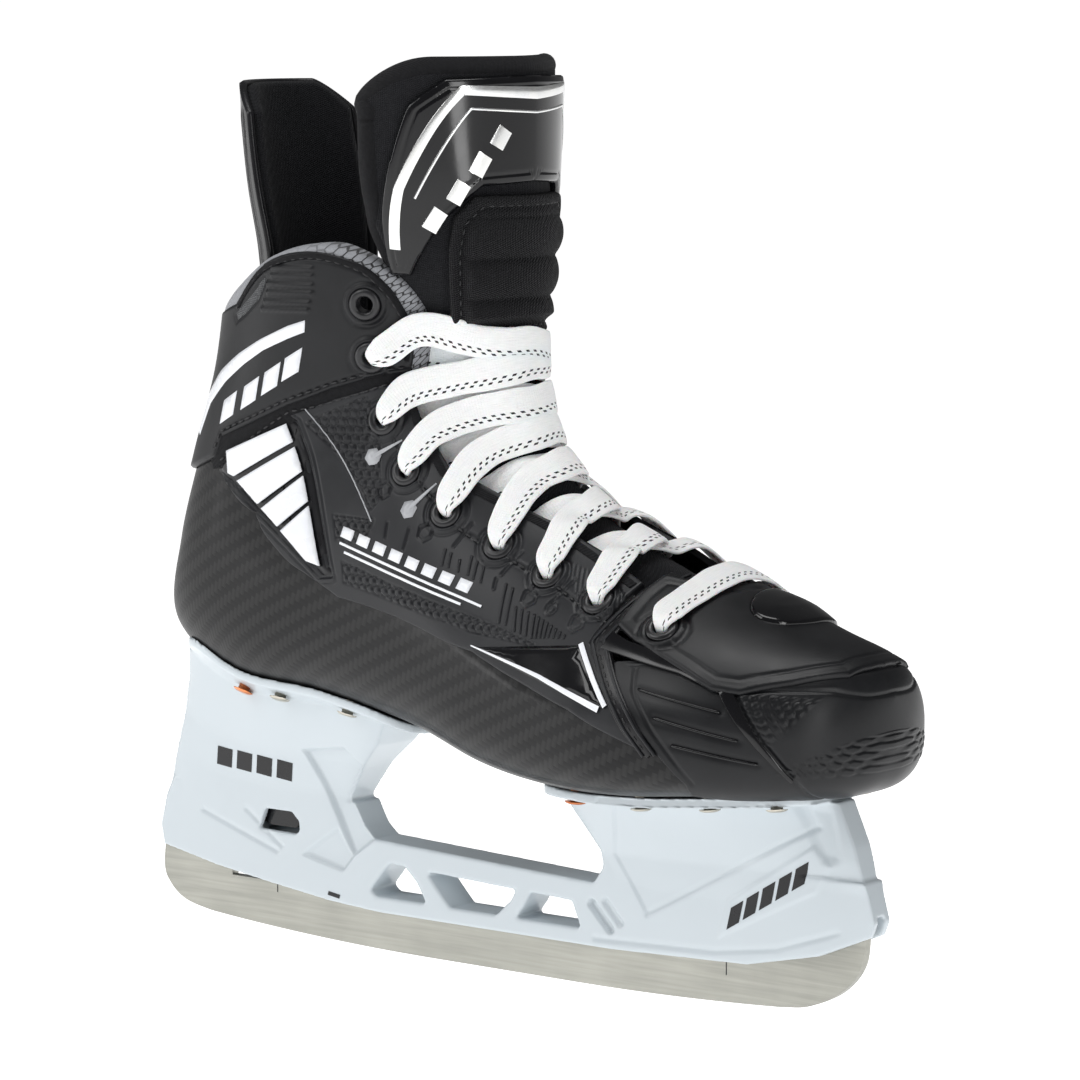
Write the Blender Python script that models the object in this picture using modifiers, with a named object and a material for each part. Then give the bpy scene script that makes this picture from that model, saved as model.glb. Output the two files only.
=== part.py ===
"""Ice hockey skate, right foot.

A moulded composite boot with its skins, toe cap, liner, two-piece tongue and tendon guard,
laced through nine pairs of eyelets, riveted to a two-tower blade holder.  The steel blade
drops from the holder when the release trigger in the rear tower is lifted.

Frame: +X to the toe, +Y to the inner (medial) side, -Y to the outer (lateral) side, +Z up.
The origin lies under the middle of the blade, on the ice.  All sizes below are in millimetres.
"""

import math

import bmesh
import bpy
from mathutils import Matrix, Vector
from mathutils.geometry import delaunay_2d_cdt

MM = 0.001
LATERAL, MEDIAL = -1, 1
SIDE_NAME = {LATERAL: "lateral", MEDIAL: "medial"}

# --- boot walls, as distances outward from the reference surface of the boot ---------------
SHELL = (-2.2, 0.0)
SKIN = (0.5, 1.7)
COLLAR = (0.7, 2.1)
ACCENT = (2.1, 2.9)
TOE_CAP = (0.8, 2.4)
TOE_COVER = (2.8, 3.8)
TOE_BADGE = (4.2, 5.8)
LINER = (-7.4, -4.1)
FOOTBED = (-12.2, -8.9)

# --- boot reference surface ----------------------------------------------------------------
# One row per cross-section, toe to collar: far point x, z (sole, then heel), near point x, z
# (toe top, then throat), half width, where the section is widest (0 far, 1 near), roundness
# exponents of its far and near halves, sideways shift of its middle.
BOOT_SECTIONS = (
    (144.5, 88.0, 144.5, 101.0, 0.0, 0.50, 2.4, 2.4, 1.5),
    (141.8, 77.5, 141.8, 107.5, 16.0, 0.46, 2.8, 2.3, 1.5),
    (133.5, 73.0, 133.5, 112.5, 29.5, 0.42, 3.4, 2.2, 1.5),
    (118.0, 71.0, 116.5, 118.5, 41.0, 0.40, 4.0, 2.1, 1.5),
    (96.0, 69.0, 94.0, 127.5, 48.0, 0.38, 4.2, 1.9, 1.2),
    (70.0, 66.5, 67.0, 139.0, 49.5, 0.36, 4.2, 1.65, 1.0),
    (42.0, 65.8, 41.0, 150.0, 46.0, 0.38, 4.0, 1.55, 0.5),
    (12.0, 68.5, 20.0, 160.0, 41.5, 0.42, 3.6, 1.6, 0.0),
    (-22.0, 77.0, 7.5, 171.0, 38.0, 0.46, 3.2, 1.7, 0.0),
    (-62.0, 83.0, 1.5, 182.0, 35.5, 0.46, 3.0, 1.8, 0.0),
    (-102.5, 85.0, -1.5, 192.0, 34.0, 0.44, 2.7, 1.9, 0.0),
    (-130.5, 100.0, -2.5, 200.5, 33.0, 0.44, 2.5, 2.0, 0.0),
    (-128.5, 126.0, -3.0, 208.5, 34.0, 0.44, 2.4, 2.0, 0.0),
    (-118.8, 155.0, -3.5, 216.0, 36.0, 0.44, 2.3, 2.0, 0.0),
    (-108.6, 184.0, -4.0, 223.5, 37.5, 0.45, 2.2, 2.0, 0.0),
    (-103.0, 212.0, -4.5, 231.0, 38.5, 0.46, 2.2, 2.0, 0.0),
    (-99.0, 236.0, -5.0, 240.0, 38.5, 0.47, 2.2, 2.0, 0.0),
)

# --- tongue: the same kind of rows, from under the toe cover up to the top edge -------------
TONGUE_SECTIONS = (
    (88.0, 96.0, 96.0, 119.0, 25.0, 0.20, 2.0, 1.8, 1.0),
    (68.0, 102.0, 80.0, 127.0, 27.0, 0.20, 2.0, 1.8, 1.0),
    (50.0, 108.0, 64.0, 134.0, 26.5, 0.20, 2.0, 1.8, 0.5),
    (32.0, 116.0, 48.0, 141.0, 24.5, 0.20, 2.0, 1.8, 0.0),
    (14.0, 126.0, 34.0, 148.5, 22.5, 0.20, 2.0, 1.8, 0.0),
    (-4.0, 140.0, 22.0, 158.5, 20.0, 0.20, 2.0, 1.9, 0.0),
    (-19.0, 158.0, 13.0, 170.5, 17.5, 0.20, 2.0, 2.0, 0.0),
    (-27.0, 179.0, 8.5, 185.0, 16.5, 0.20, 2.0, 2.1, 0.0),
    (-30.0, 199.0, 7.0, 200.0, 17.5, 0.20, 2.0, 2.1, 0.0),
    (-31.0, 220.0, 7.5, 220.0, 27.0, 0.15, 2.0, 1.9, 0.0),
    (-31.0, 245.0, 8.0, 245.0, 38.0, 0.12, 2.0, 1.7, 0.0),
    (-30.0, 270.0, 8.5, 270.0, 42.0, 0.12, 2.0, 1.6, 0.0),
    (-29.0, 286.0, 8.7, 286.0, 42.0, 0.12, 2.0, 1.6, 0.0),
)
TONGUE_THICK = 7.0
TONGUE_COVER = (2.2, 3.3)
TONGUE_PAD = (0.8, 3.2)

# --- tendon guard: rows from its foot inside the collar up to its top edge -----------------
GUARD_SECTIONS = (
    (-96.0, 188.0, -34.0, 188.0, 27.0, 0.50, 2.0, 2.0, 0.0),
    (-93.5, 206.0, -34.0, 206.0, 28.0, 0.50, 2.0, 2.0, 0.0),
    (-94.5, 226.0, -34.0, 226.0, 29.5, 0.50, 2.0, 2.0, 0.0),
    (-98.0, 246.0, -36.0, 246.0, 31.0, 0.50, 2.0, 2.0, 0.0),
    (-101.0, 264.0, -40.0, 264.0, 30.0, 0.50, 2.0, 2.0, 0.0),
    (-103.0, 279.0, -42.0, 279.0, 29.0, 0.50, 2.0, 2.0, 0.0),
)

# --- eyelets: outer-side positions seen from the side, top pair first ------------------------
EYELETS = (
    (-31.0, 212.3), (-31.5, 195.6), (-28.4, 175.5), (-17.0, 160.0), (0.0, 148.0),
    (20.0, 139.0), (40.0, 131.4), (61.0, 125.0), (87.5, 117.6),
)
COLLAR_EYELETS = 2
TOE_EYELET = 8
EYELET_HOLE_R = 3.7
EYELET_SIDES = 10

# --- blade holder and blade -------------------------------------------------------------------
RAIL_HALF = 6.5
BLADE_HALF = 1.5
SLOT_HALF = 1.9
LATCH_PIN = (-118.0, 47.0)
PIN_BORE_R = 1.8
PIN_R = 1.45
FLANGE = 3.0
SOLE_GAP = 0.8

# --- rivets: x, distance from the middle, height of the clenched end above the sole's inside --
RIVETS = {
    "rear": ((-96.0, 16.0, 2.1), (-80.0, 17.0, 1.3), (-51.0, 17.0, 1.3)),
    "front": ((45.0, 22.0, 1.3), (70.0, 22.0, 1.3), (96.0, 22.0, 1.3), (121.0, 22.0, 1.3)),
}
RIVET_R = 1.9
RIVET_HOLE_R = 2.3


# ==============================================================================================
# Lofts between cross-sections that fan round a foot
# ==============================================================================================
class Loft:
    """A closed skin through rows of oval sections, addressed by s (row) and v (way round).

    v is 0 on the far line and 1 on the near line; it is negative on the lateral side.  Past 1
    it carries on down the other side, so that a panel can cross the near line.
    """

    SAMPLES = 48

    def __init__(self, rows, closed_tip):
        self.rows = rows
        self.last = len(rows) - 1
        self.closed_tip = closed_tip
        self.cache = {}

    def row(self, index):
        if index < 0:
            row = list(self.rows[-index])
            if self.closed_tip:
                row[4] = -row[4]
                return row
            return [2 * a - b for a, b in zip(self.rows[0], row)]
        if index > self.last:
            return [2 * a - b for a, b in zip(self.rows[-1], self.rows[2 * self.last - index])]
        return self.rows[index]

    def station(self, s):
        i = min(max(math.floor(s), 0), self.last - 1)
        f = s - i
        out = []
        for a, b, c, d in zip(*(self.row(i + k) for k in (-1, 0, 1, 2))):
            bend = -a + 3 * b - 3 * c + d
            out.append(0.5 * (2 * b + (c - a) * f + (2 * a - 5 * b + 4 * c - d) * f * f + bend * f ** 3))
        return out

    @staticmethod
    def half_width(row, t):
        width, widest, far, near = row[4:8]
        if t < widest:
            return width * max(0.0, 1 - ((widest - t) / widest) ** far) ** (1 / far)
        return width * max(0.0, 1 - ((t - widest) / (1 - widest)) ** near) ** (1 / near)

    def ring(self, s):
        """Section outline from far to near: its row and (length fraction, t, half width)."""
        key = round(s, 5)
        if key not in self.cache:
            row = self.station(s)
            span = math.hypot(row[2] - row[0], row[3] - row[1])
            points = []
            length = 0.0
            for k in range(self.SAMPLES + 1):
                t = 0.5 - 0.5 * math.cos(math.pi * k / self.SAMPLES)
                width = self.half_width(row, t)
                if points:
                    length += math.hypot((t - points[-1][1]) * span, width - points[-1][2])
                points.append((length, t, width))
            self.cache[key] = row, [(at / length, t, width) for at, t, width in points]
        return self.cache[key]

    def on_surface(self, s, v):
        v = (v + 1) % 2 - 1
        row, ring = self.ring(s)
        share = abs(v)
        k = 0
        while k < self.SAMPLES - 1 and ring[k + 1][0] < share:
            k += 1
        (a, t0, w0), (b, t1, w1) = ring[k], ring[k + 1]
        f = (share - a) / (b - a)
        t = t0 + (t1 - t0) * f
        width = w0 + (w1 - w0) * f
        side = math.copysign(1.0, v)
        return Vector((row[0] + (row[2] - row[0]) * t, row[8] + side * width, row[1] + (row[3] - row[1]) * t))

    def normal(self, s, v):
        step_s, step_v = 0.02, 0.02
        ahead = self.on_surface(min(s + step_s, self.last), v)
        behind = self.on_surface(s - step_s, v)
        across = self.on_surface(s, v + step_v) - self.on_surface(s, v - step_v)
        return (ahead - behind).cross(across).normalized()

    def point(self, s, v, out=0.0):
        return self.on_surface(s, v) + self.normal(s, v) * out

    def from_side(self, x, z, side):
        """The (s, v) of the surface point seen at (x, z) from that side."""
        def miss(s):
            row = self.station(s)
            return (row[2] - row[0]) * (z - row[1]) - (row[3] - row[1]) * (x - row[0])
        steps = 8
        best = None
        for k in range(self.last * steps):
            a, b = k / steps, (k + 1) / steps
            if miss(a) * miss(b) <= 0 and miss(a) != miss(b):
                for _ in range(40):
                    c = (a + b) / 2
                    a, b = (a, c) if miss(a) * miss(c) <= 0 else (c, b)
                row, ring = self.ring(a)
                span = (row[2] - row[0]) ** 2 + (row[3] - row[1]) ** 2
                t = ((x - row[0]) * (row[2] - row[0]) + (z - row[1]) * (row[3] - row[1])) / span
                if best is None or abs(t - 0.5) < abs(best[1] - 0.5):
                    best = a, t
        s, t = best
        t = min(max(t, 0.001), 0.999)
        ring = self.ring(s)[1]
        for (a, t0, _), (b, t1, _) in zip(ring, ring[1:]):
            if t0 <= t <= t1:
                return s, side * (a + (b - a) * (t - t0) / (t1 - t0))
        return s, side

    def under(self, x, y):
        """Height of the sole side of the surface above (x, y)."""
        low, high = 0.3, 11.0
        for _ in range(50):
            s = (low + high) / 2
            row = self.station(s)
            share = min(abs(y - row[8]) / max(row[4], 1e-3), 0.999)
            t = row[5] * (1 - (1 - share ** row[6]) ** (1 / row[6]))
            low, high = (s, high) if row[0] + (row[2] - row[0]) * t > x else (low, s)
        return row[1] + (row[3] - row[1]) * t


boot = Loft(BOOT_SECTIONS, True)
tongue = Loft(TONGUE_SECTIONS, False)
guard = Loft(GUARD_SECTIONS, False)


# ==============================================================================================
# Scene helpers
# ==============================================================================================
def clear_scene():
    for item in list(bpy.data.objects):
        bpy.data.objects.remove(item, do_unlink=True)
    for block in (bpy.data.meshes, bpy.data.curves, bpy.data.materials, bpy.data.collections):
        for item in list(block):
            block.remove(item)


clear_scene()
SKATE = bpy.data.collections.new("ice_skate")
CUTTERS = bpy.data.collections.new("cutters")
bpy.context.scene.collection.children.link(SKATE)
bpy.context.scene.collection.children.link(CUTTERS)


def material(name, colour, roughness, metallic=0.0):
    item = bpy.data.materials.new(name)
    item.use_nodes = True
    shader = item.node_tree.nodes["Principled BSDF"]
    shader.inputs["Base Color"].default_value = (*colour, 1.0)
    shader.inputs["Roughness"].default_value = roughness
    shader.inputs["Metallic"].default_value = metallic
    return item


CARBON = material("carbon_composite", (0.030, 0.031, 0.034), 0.22)
RUBBER = material("black_rubber", (0.016, 0.017, 0.019), 0.55)
GLOSS_BLACK = material("gloss_black_plastic", (0.012, 0.013, 0.015), 0.15)
WHITE_FILM = material("white_reflective_film", (0.85, 0.86, 0.88), 0.25)
GREY_FABRIC = material("grey_lining_fabric", (0.30, 0.31, 0.33), 0.85)
BLACK_FELT = material("black_felt", (0.018, 0.018, 0.020), 0.95)
BLACK_MESH = material("black_mesh_fabric", (0.020, 0.021, 0.023), 0.90)
HOLDER_WHITE = material("white_nylon", (0.86, 0.88, 0.92), 0.25)
STEEL = material("stainless_steel", (0.62, 0.60, 0.56), 0.30, 1.0)
COPPER = material("copper", (0.72, 0.30, 0.16), 0.35, 1.0)
LACE = material("white_waxed_polyester", (0.88, 0.88, 0.87), 0.85)


def add_mesh(name, bm, finish, collection=None):
    """Scale a millimetre bmesh to metres and put it in the scene."""
    bmesh.ops.scale(bm, vec=(MM, MM, MM), verts=bm.verts)
    mesh = bpy.data.meshes.new(name)
    bm.to_mesh(mesh)
    bm.free()
    mesh.materials.append(finish)
    item = bpy.data.objects.new(name, mesh)
    (collection or SKATE).objects.link(item)
    mesh.shade_smooth()
    mesh.set_sharp_from_angle(angle=math.radians(35))
    return item


def add_cutter(name, bm):
    item = add_mesh(name, bm, RUBBER, CUTTERS)
    item.hide_render = True
    item.display_type = "WIRE"
    return item


def cut(item, cutter, operation="DIFFERENCE"):
    mod = item.modifiers.new(operation.lower() + "_" + cutter.name, "BOOLEAN")
    mod.operation = operation
    mod.object = cutter
    return mod


def thicken(item, thickness):
    """Give an open surface its thickness, outward."""
    mod = item.modifiers.new("thickness", "SOLIDIFY")
    mod.thickness = thickness * MM
    mod.offset = 1.0
    return item


# ==============================================================================================
# Sheets and panels on a loft
# ==============================================================================================
def steps(start, stop, count):
    return [start + (stop - start) * k / count for k in range(count + 1)]


def sheet(name, loft, rows, edges, across, layer, finish, slide=lambda s, v: s):
    """A four-sided patch: rows of s, each from v = edges(s)[0] to edges(s)[1].

    slide(s, v) may move a row's points along s, for an end that isn't one straight row.
    """
    bm = bmesh.new()
    grid = []
    for s in rows:
        first, final = edges(s)
        places = [loft.point(slide(s, v), v, layer[0]) for v in steps(first, final, across)]
        grid.append([bm.verts.new(p) for p in places])
    for a, b in zip(grid, grid[1:]):
        for k in range(across):
            bm.faces.new((a[k], b[k], b[k + 1], a[k + 1]))
    bmesh.ops.remove_doubles(bm, verts=bm.verts, dist=0.01)
    face_outward(bm, loft, rows, edges)
    return thicken(add_mesh(name, bm, finish), layer[1] - layer[0])


def face_outward(bm, loft, rows, edges):
    """Turn the faces to the outside, judged at the middle of the patch."""
    bmesh.ops.recalc_face_normals(bm, faces=bm.faces)
    s = rows[len(rows) // 2]
    v = sum(edges(s)) / 2
    probe = loft.point(s, v)
    face = min(bm.faces, key=lambda f: (f.calc_center_median() - probe).length)
    if face.normal.dot(loft.normal(s, v)) < 0:
        bmesh.ops.reverse_faces(bm, faces=bm.faces)


def inside(point, loop):
    """Even-odd test of a 2D point against a closed loop."""
    x, y = point
    odd = False
    for (x0, y0), (x1, y1) in zip(loop, loop[1:] + loop[:1]):
        if (y0 > y) != (y1 > y) and x < x0 + (y - y0) * (x1 - x0) / (y1 - y0):
            odd = not odd
    return odd


def refine(loop, pitch):
    """Divide the edges of a closed loop so that none is longer than the pitch."""
    out = []
    for (x0, y0), (x1, y1) in zip(loop, loop[1:] + loop[:1]):
        count = max(1, round(math.hypot(x1 - x0, y1 - y0) / pitch))
        out += [(x0 + (x1 - x0) * k / count, y0 + (y1 - y0) * k / count) for k in range(count)]
    return out


def panel(name, loft, outline, holes, layer, finish, pitch=7.0):
    """A patch with any outline: lists of (s, v) points, meshed inside and mapped on the loft."""
    per_s, per_v = 16.0, 120.0
    flat = refine([(s * per_s, v * per_v) for s, v in outline], pitch)
    hole_loops = [[(s * per_s, v * per_v) for s, v in hole] for hole in holes]
    points, edges = [], []
    for loop in [flat] + hole_loops:
        first = len(points)
        points += [Vector(p) for p in loop]
        edges += [(first + k, first + (k + 1) % len(loop)) for k in range(len(loop))]
    rim = list(points)
    low_x, high_x = min(p[0] for p in flat), max(p[0] for p in flat)
    low_y, high_y = min(p[1] for p in flat), max(p[1] for p in flat)
    for i in range(1, int((high_x - low_x) / pitch) + 1):
        for j in range(1, int((high_y - low_y) / pitch) + 1):
            spot = low_x + i * pitch, low_y + (j + 0.5 * (i % 2)) * pitch
            near = min((Vector(spot) - p).length for p in rim)
            if near > 0.55 * pitch and inside(spot, flat) and not any(inside(spot, h) for h in hole_loops):
                points.append(Vector(spot))
    verts, _, faces, *_ = delaunay_2d_cdt(points, edges, [], 0, 1e-5)
    bm = bmesh.new()
    made = [bm.verts.new(loft.point(p.x / per_s, p.y / per_v, layer[0])) for p in verts]
    for face in faces:
        middle = sum((verts[k] for k in face), Vector((0, 0))) / len(face)
        if inside(middle, flat) and not any(inside(middle, h) for h in hole_loops):
            bm.faces.new([made[k] for k in face])
    bmesh.ops.delete(bm, geom=[v for v in bm.verts if not v.link_faces], context="VERTS")
    bmesh.ops.recalc_face_normals(bm, faces=bm.faces)
    bm.normal_update()
    face = bm.faces[:][0]
    if face.normal.dot(face_direction(loft, face.calc_center_median(), outline)) < 0:
        bmesh.ops.reverse_faces(bm, faces=bm.faces)
    return thicken(add_mesh(name, bm, finish), layer[1] - layer[0])


def face_direction(loft, spot, outline):
    """Outward normal of the loft at the outline point that lies nearest."""
    s, v = min(outline, key=lambda q: (loft.point(*q) - spot).length)
    return loft.normal(s, v)


def side_outline(points, side):
    return [boot.from_side(x, z, side) for x, z in points]


def eyelet_hole(index, side):
    """Round hole of a side's eyelet, as (s, v) points."""
    s, v = boot.from_side(*EYELETS[index], side)
    centre = boot.point(s, v)
    ds = (boot.point(s + 0.1, v) - centre) / 0.1
    dv = (boot.point(s, v + 0.02) - centre) / 0.02
    normal = boot.normal(s, v)
    first = ds.normalized()
    second = normal.cross(first)
    # invert the local frame so that the hole is round on the surface
    a, b, c, d = ds.dot(first), dv.dot(first), ds.dot(second), dv.dot(second)
    det = a * d - b * c
    loop = []
    for k in range(EYELET_SIDES):
        angle = math.tau * k / EYELET_SIDES
        x, y = EYELET_HOLE_R * math.cos(angle), EYELET_HOLE_R * math.sin(angle)
        loop.append((s + (d * x - b * y) / det, v + (-c * x + a * y) / det))
    return loop


# ==============================================================================================
# Boot
# ==============================================================================================
TOE_ROWS = [0.0, 0.3, 0.6, 1.0, 1.5, 2.0, 2.5, 3.0]


def blend(table, s):
    """Straight-line interpolation in a short table of (s, value)."""
    for (a, u), (b, w) in zip(table, table[1:]):
        if s <= b:
            return u + (w - u) * max(0.0, (s - a) / (b - a))
    return table[-1][1]


SHELL_TOP = ((0, 0.30), (3, 0.38), (5, 0.50), (8, 0.58), (11, 0.64), (13, 0.64), (15, 0.60))
LINER_TOP = ((0.6, 0.80), (3.4, 0.72), (4.2, 0.60), (8, 0.60), (11, 0.66), (13, 0.68), (15.5, 0.60))


def build_shell():
    rows = TOE_ROWS + [3 + 0.6 * k for k in range(1, 20)]
    return sheet("boot_shell", boot, rows, lambda s: (-blend(SHELL_TOP, s), blend(SHELL_TOP, s)),
                 16, SHELL, CARBON)


def build_liner():
    rows = [0.6, 1.0, 1.5, 2.0, 3.0] + [3 + 0.75 * k for k in range(1, 17)]
    return sheet("liner", boot, rows, lambda s: (-blend(LINER_TOP, s), blend(LINER_TOP, s)),
                 16, LINER, GREY_FABRIC)


def build_footbed():
    rows = [1.6 + 0.8 * k for k in range(12)]
    return sheet("footbed", boot, rows, lambda s: (-0.17, 0.17), 6, FOOTBED, BLACK_FELT)


SKIN_OUTLINE = (
    (-22.0, 187.6), (-15.0, 174.5), (-3.5, 161.0), (15.0, 152.6), (33.5, 145.5), (54.0, 137.2), (70.5, 130.2),
    (65.5, 113.8), (91.5, 85.5), (63.2, 95.1), (46.1, 100.0), (20.9, 108.3), (-39.3, 119.6),
    (-54.0, 126.0), (-76.0, 143.5), (-90.0, 154.5), (-91.0, 158.0), (-60.1, 176.0), (-44.1, 182.0), (-30.1, 186.6),
)


def build_skin(side, name):
    outline = side_outline(SKIN_OUTLINE, side)
    holes = [eyelet_hole(k, side) for k in range(COLLAR_EYELETS, TOE_EYELET)]
    return panel(name, boot, outline, holes, SKIN, RUBBER)


COLLAR_HALF = (
    (-120.6, 148.6), (-92.5, 160.2), (-89.0, 167.0), (-60.1, 179.2), (-44.1, 185.3), (-30.1, 189.8), (-20.6, 190.8),
    (-19.0, 203.2), (-20.8, 211.0), (-24.0, 218.2), (-31.0, 225.0), (-48.8, 228.0), (-66.8, 223.8), (-80.3, 210.5),
)


def build_collar():
    """One wrap round the back of the ankle, from throat edge to throat edge."""
    lateral = side_outline(COLLAR_HALF, LATERAL)
    medial = side_outline(COLLAR_HALF, MEDIAL)
    back_low, back_high = (13.05, 0.0), (14.72, 0.0)
    outline = [back_low] + medial[1:] + [(14.66, 0.10), back_high, (14.66, -0.10)] + lateral[:0:-1]
    holes = [eyelet_hole(k, side) for side in (MEDIAL, LATERAL) for k in range(COLLAR_EYELETS)]
    return panel("collar_wrap", boot, outline, holes, COLLAR, RUBBER)


ACCENT_OUTLINE = ((-86.0, 163.0), (-61.5, 173.3), (-46.0, 128.2), (-52.5, 129.6), (-74.0, 146.2), (-85.0, 155.6))


def build_accent(side, name):
    return panel(name, boot, side_outline(ACCENT_OUTLINE, side), [], ACCENT, WHITE_FILM)


def toe_cap_edges(s):
    low = blend(((0, 0.10), (1, 0.26), (2, 0.32), (4, 0.38)), s)
    return low, 2 - low


# how far back the toe cap reaches, by v: its wings run back below the top cover
TOE_CAP_REACH = ((0.38, 3.65), (0.44, 3.95), (0.58, 4.60), (0.62, 4.68), (0.67, 3.75), (1.0, 3.75))


def build_toe_cap():
    def slide(s, v):
        return s * blend(TOE_CAP_REACH, min(v, 2 - v)) / TOE_CAP_REACH[-1][1]
    return sheet("toe_cap", boot, TOE_ROWS + [3.4, 3.75], toe_cap_edges, 26, TOE_CAP, GLOSS_BLACK, slide)


def build_toe_cover():
    """Matte cover over the top of the toe, with two arms back to the end of the throat."""
    medial = [
        (1.30, 0.90), (1.60, 0.80), (2.50, 0.72), (3.13, 0.66), (3.80, 0.66), (4.60, 0.62), (4.86, 0.66),
        (4.78, 0.80), (4.72, 0.868), (4.45, 0.885), (4.15, 0.93),
    ]
    lateral = [(s, 2 - v) for s, v in medial]
    outline = [(1.22, 1.0)] + medial + [(4.05, 1.0)] + lateral[::-1]
    holes = [[(s, v % 2) for s, v in eyelet_hole(TOE_EYELET, side)] for side in (MEDIAL, LATERAL)]
    return panel("toe_top_cover", boot, outline, holes, TOE_COVER, RUBBER)


def build_toe_badge():
    """Small dome behind the last lace, oval in (s, v)."""
    angles = steps(0, math.tau * 15 / 16, 15)
    outline = [(3.25 + 0.42 * math.cos(a), 1.0 + 0.13 * math.sin(a)) for a in angles]
    return panel("toe_badge", boot, outline, [], TOE_BADGE, GLOSS_BLACK, 6.0)


# ==============================================================================================
# Tongue and tendon guard
# ==============================================================================================
# the tongue hinges between its two halves at this row
TONGUE_SPLIT = 8.12
TONGUE_GAP = 0.06


def tongue_edges(s):
    reach = blend(((0, 0.42), (5, 0.50), (8, 0.56), (12, 0.60)), s)
    return 1 - reach, 1 + reach


def build_tongue():
    layer = (-TONGUE_THICK, 0.0)
    low_rows = steps(0.1, TONGUE_SPLIT - TONGUE_GAP, 14)
    high_rows = steps(TONGUE_SPLIT + TONGUE_GAP, 11.8, 9)
    sheet("tongue_lower", tongue, low_rows, tongue_edges, 10, layer, BLACK_FELT)
    sheet("tongue_upper", tongue, high_rows, tongue_edges, 14, layer, BLACK_FELT)
    sheet("tongue_cover", tongue, steps(10.35, 11.7, 4), lambda s: (0.42, 1.58), 14, TONGUE_COVER, GLOSS_BLACK)
    sheet("tongue_lace_pad", tongue, steps(8.5, 10.25, 5), lambda s: (0.72, 1.28), 8, TONGUE_PAD, BLACK_MESH)


def build_tongue_binding():
    """Rolled binding along the top edge of the tongue."""
    lift = Vector((0, 0, 1.0))
    points = [tongue.point(12.0, v, -TONGUE_THICK / 2) + lift for v in steps(0.40, 1.60, 22)]
    tube("tongue_binding", points, 3.0, BLACK_FELT)


def tube(name, points, radius, finish, resolution=2):
    """A round wire or roll through a list of points."""
    curve = bpy.data.curves.new(name, "CURVE")
    curve.dimensions = "3D"
    curve.bevel_depth = radius * MM
    curve.bevel_resolution = resolution
    curve.use_fill_caps = True
    line = curve.splines.new("POLY")
    line.points.add(len(points) - 1)
    for spot, p in zip(line.points, points):
        spot.co = (*(Vector(p) * MM), 1.0)
    curve.materials.append(finish)
    SKATE.objects.link(bpy.data.objects.new(name, curve))


GUARD = (-2.4, 0.0)
GUARD_LINING = (-6.0, -2.8)


def build_tendon_guard():
    def wing(s):
        reach = blend(((0, 0.34), (2, 0.36), (5, 0.34)), s)
        return -reach, reach
    sheet("tendon_guard", guard, steps(0.0, 5.0, 10), wing, 12, GUARD, RUBBER)
    lining_rows = steps(0.1, 4.9, 9)
    sheet("tendon_guard_lining", guard, lining_rows, lambda s: (-0.31, 0.31), 12, GUARD_LINING, BLACK_FELT)


# ==============================================================================================
# Turned parts: eyelets and rivets
# ==============================================================================================
def turned(name, profile, sides, finish, place):
    """Revolve an (r, h) profile about +Z, then set it in place by a matrix.

    A profile that starts and ends on the axis is solid; otherwise it is a closed ring.
    """
    bm = bmesh.new()
    rings = []
    for r, h in profile:
        if r == 0:
            rings.append([bm.verts.new((0, 0, h))])
        else:
            angles = [math.tau * k / sides for k in range(sides)]
            rings.append([bm.verts.new((r * math.cos(a), r * math.sin(a), h)) for a in angles])
    solid = profile[0][0] == 0
    for a, b in zip(rings, rings[1:] if solid else rings[1:] + rings[:1]):
        for k in range(sides):
            m = (k + 1) % sides
            corner = [a[k % len(a)], a[m % len(a)], b[m % len(b)], b[k % len(b)]]
            bm.faces.new(list(dict.fromkeys(corner)))
    bmesh.ops.recalc_face_normals(bm, faces=bm.faces)
    bmesh.ops.transform(bm, matrix=place, verts=bm.verts)
    return add_mesh(name, bm, finish)


def frame_at(origin, normal, along):
    """Matrix with its Z along the normal and its X near the given direction."""
    x = (along - normal * along.dot(normal)).normalized()
    y = normal.cross(x)
    return Matrix(((x.x, y.x, normal.x, origin.x), (x.y, y.y, normal.y, origin.y),
                   (x.z, y.z, normal.z, origin.z), (0, 0, 0, 1)))


def eyelet_frame(index, side):
    s, v = boot.from_side(*EYELETS[index], side)
    along = boot.point(s + 0.1, v) - boot.point(s, v)
    return frame_at(boot.point(s, v), boot.normal(s, v), along)


def eyelet_layer(index):
    if index < COLLAR_EYELETS:
        return COLLAR
    return TOE_COVER if index == TOE_EYELET else SKIN


def build_eyelets():
    """Rolled ring eyelets, clenched behind the layer they are set in."""
    for side in (LATERAL, MEDIAL):
        for k in range(len(EYELETS)):
            low, high = eyelet_layer(k)
            top, bottom = high + 0.4, low - 1.1
            profile = ((2.5, bottom - 0.7), (2.5, top + 0.9), (5.1, top + 0.2), (3.1, top),
                       (3.1, bottom), (4.3, bottom - 0.1))
            turned(f"eyelet_{SIDE_NAME[side]}_{k + 1}", profile, EYELET_SIDES, RUBBER, eyelet_frame(k, side))


def rivet_places():
    """Each rivet's name, its frame on the sole and the height of its clenched end."""
    for side in (LATERAL, MEDIAL):
        for tower_name, row in RIVETS.items():
            for k, (x, y, rise) in enumerate(row, 1):
                origin = Vector((x, side * y, boot.under(x, side * y)))
                place = frame_at(origin, rivet_direction(x, side * y), Vector((1, 0, 0)))
                yield f"rivet_{tower_name}_{SIDE_NAME[side]}_{k}", place, rise


def build_rivets():
    """Domed head under the holder's flange, clenched end inside the sole."""
    for name, place, rise in rivet_places():
        base, top = -(FLANGE + SOLE_GAP) - 0.5, -SHELL[0] + rise
        profile = ((0, base - 1.3), (2.4, base - 1.0), (3.4, base), (RIVET_R, base),
                   (RIVET_R, top), (2.6, top), (2.6, top + 0.4), (0, top + 0.4))
        turned(name, profile, 8, COPPER if name.endswith("1") else STEEL, place)


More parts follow.
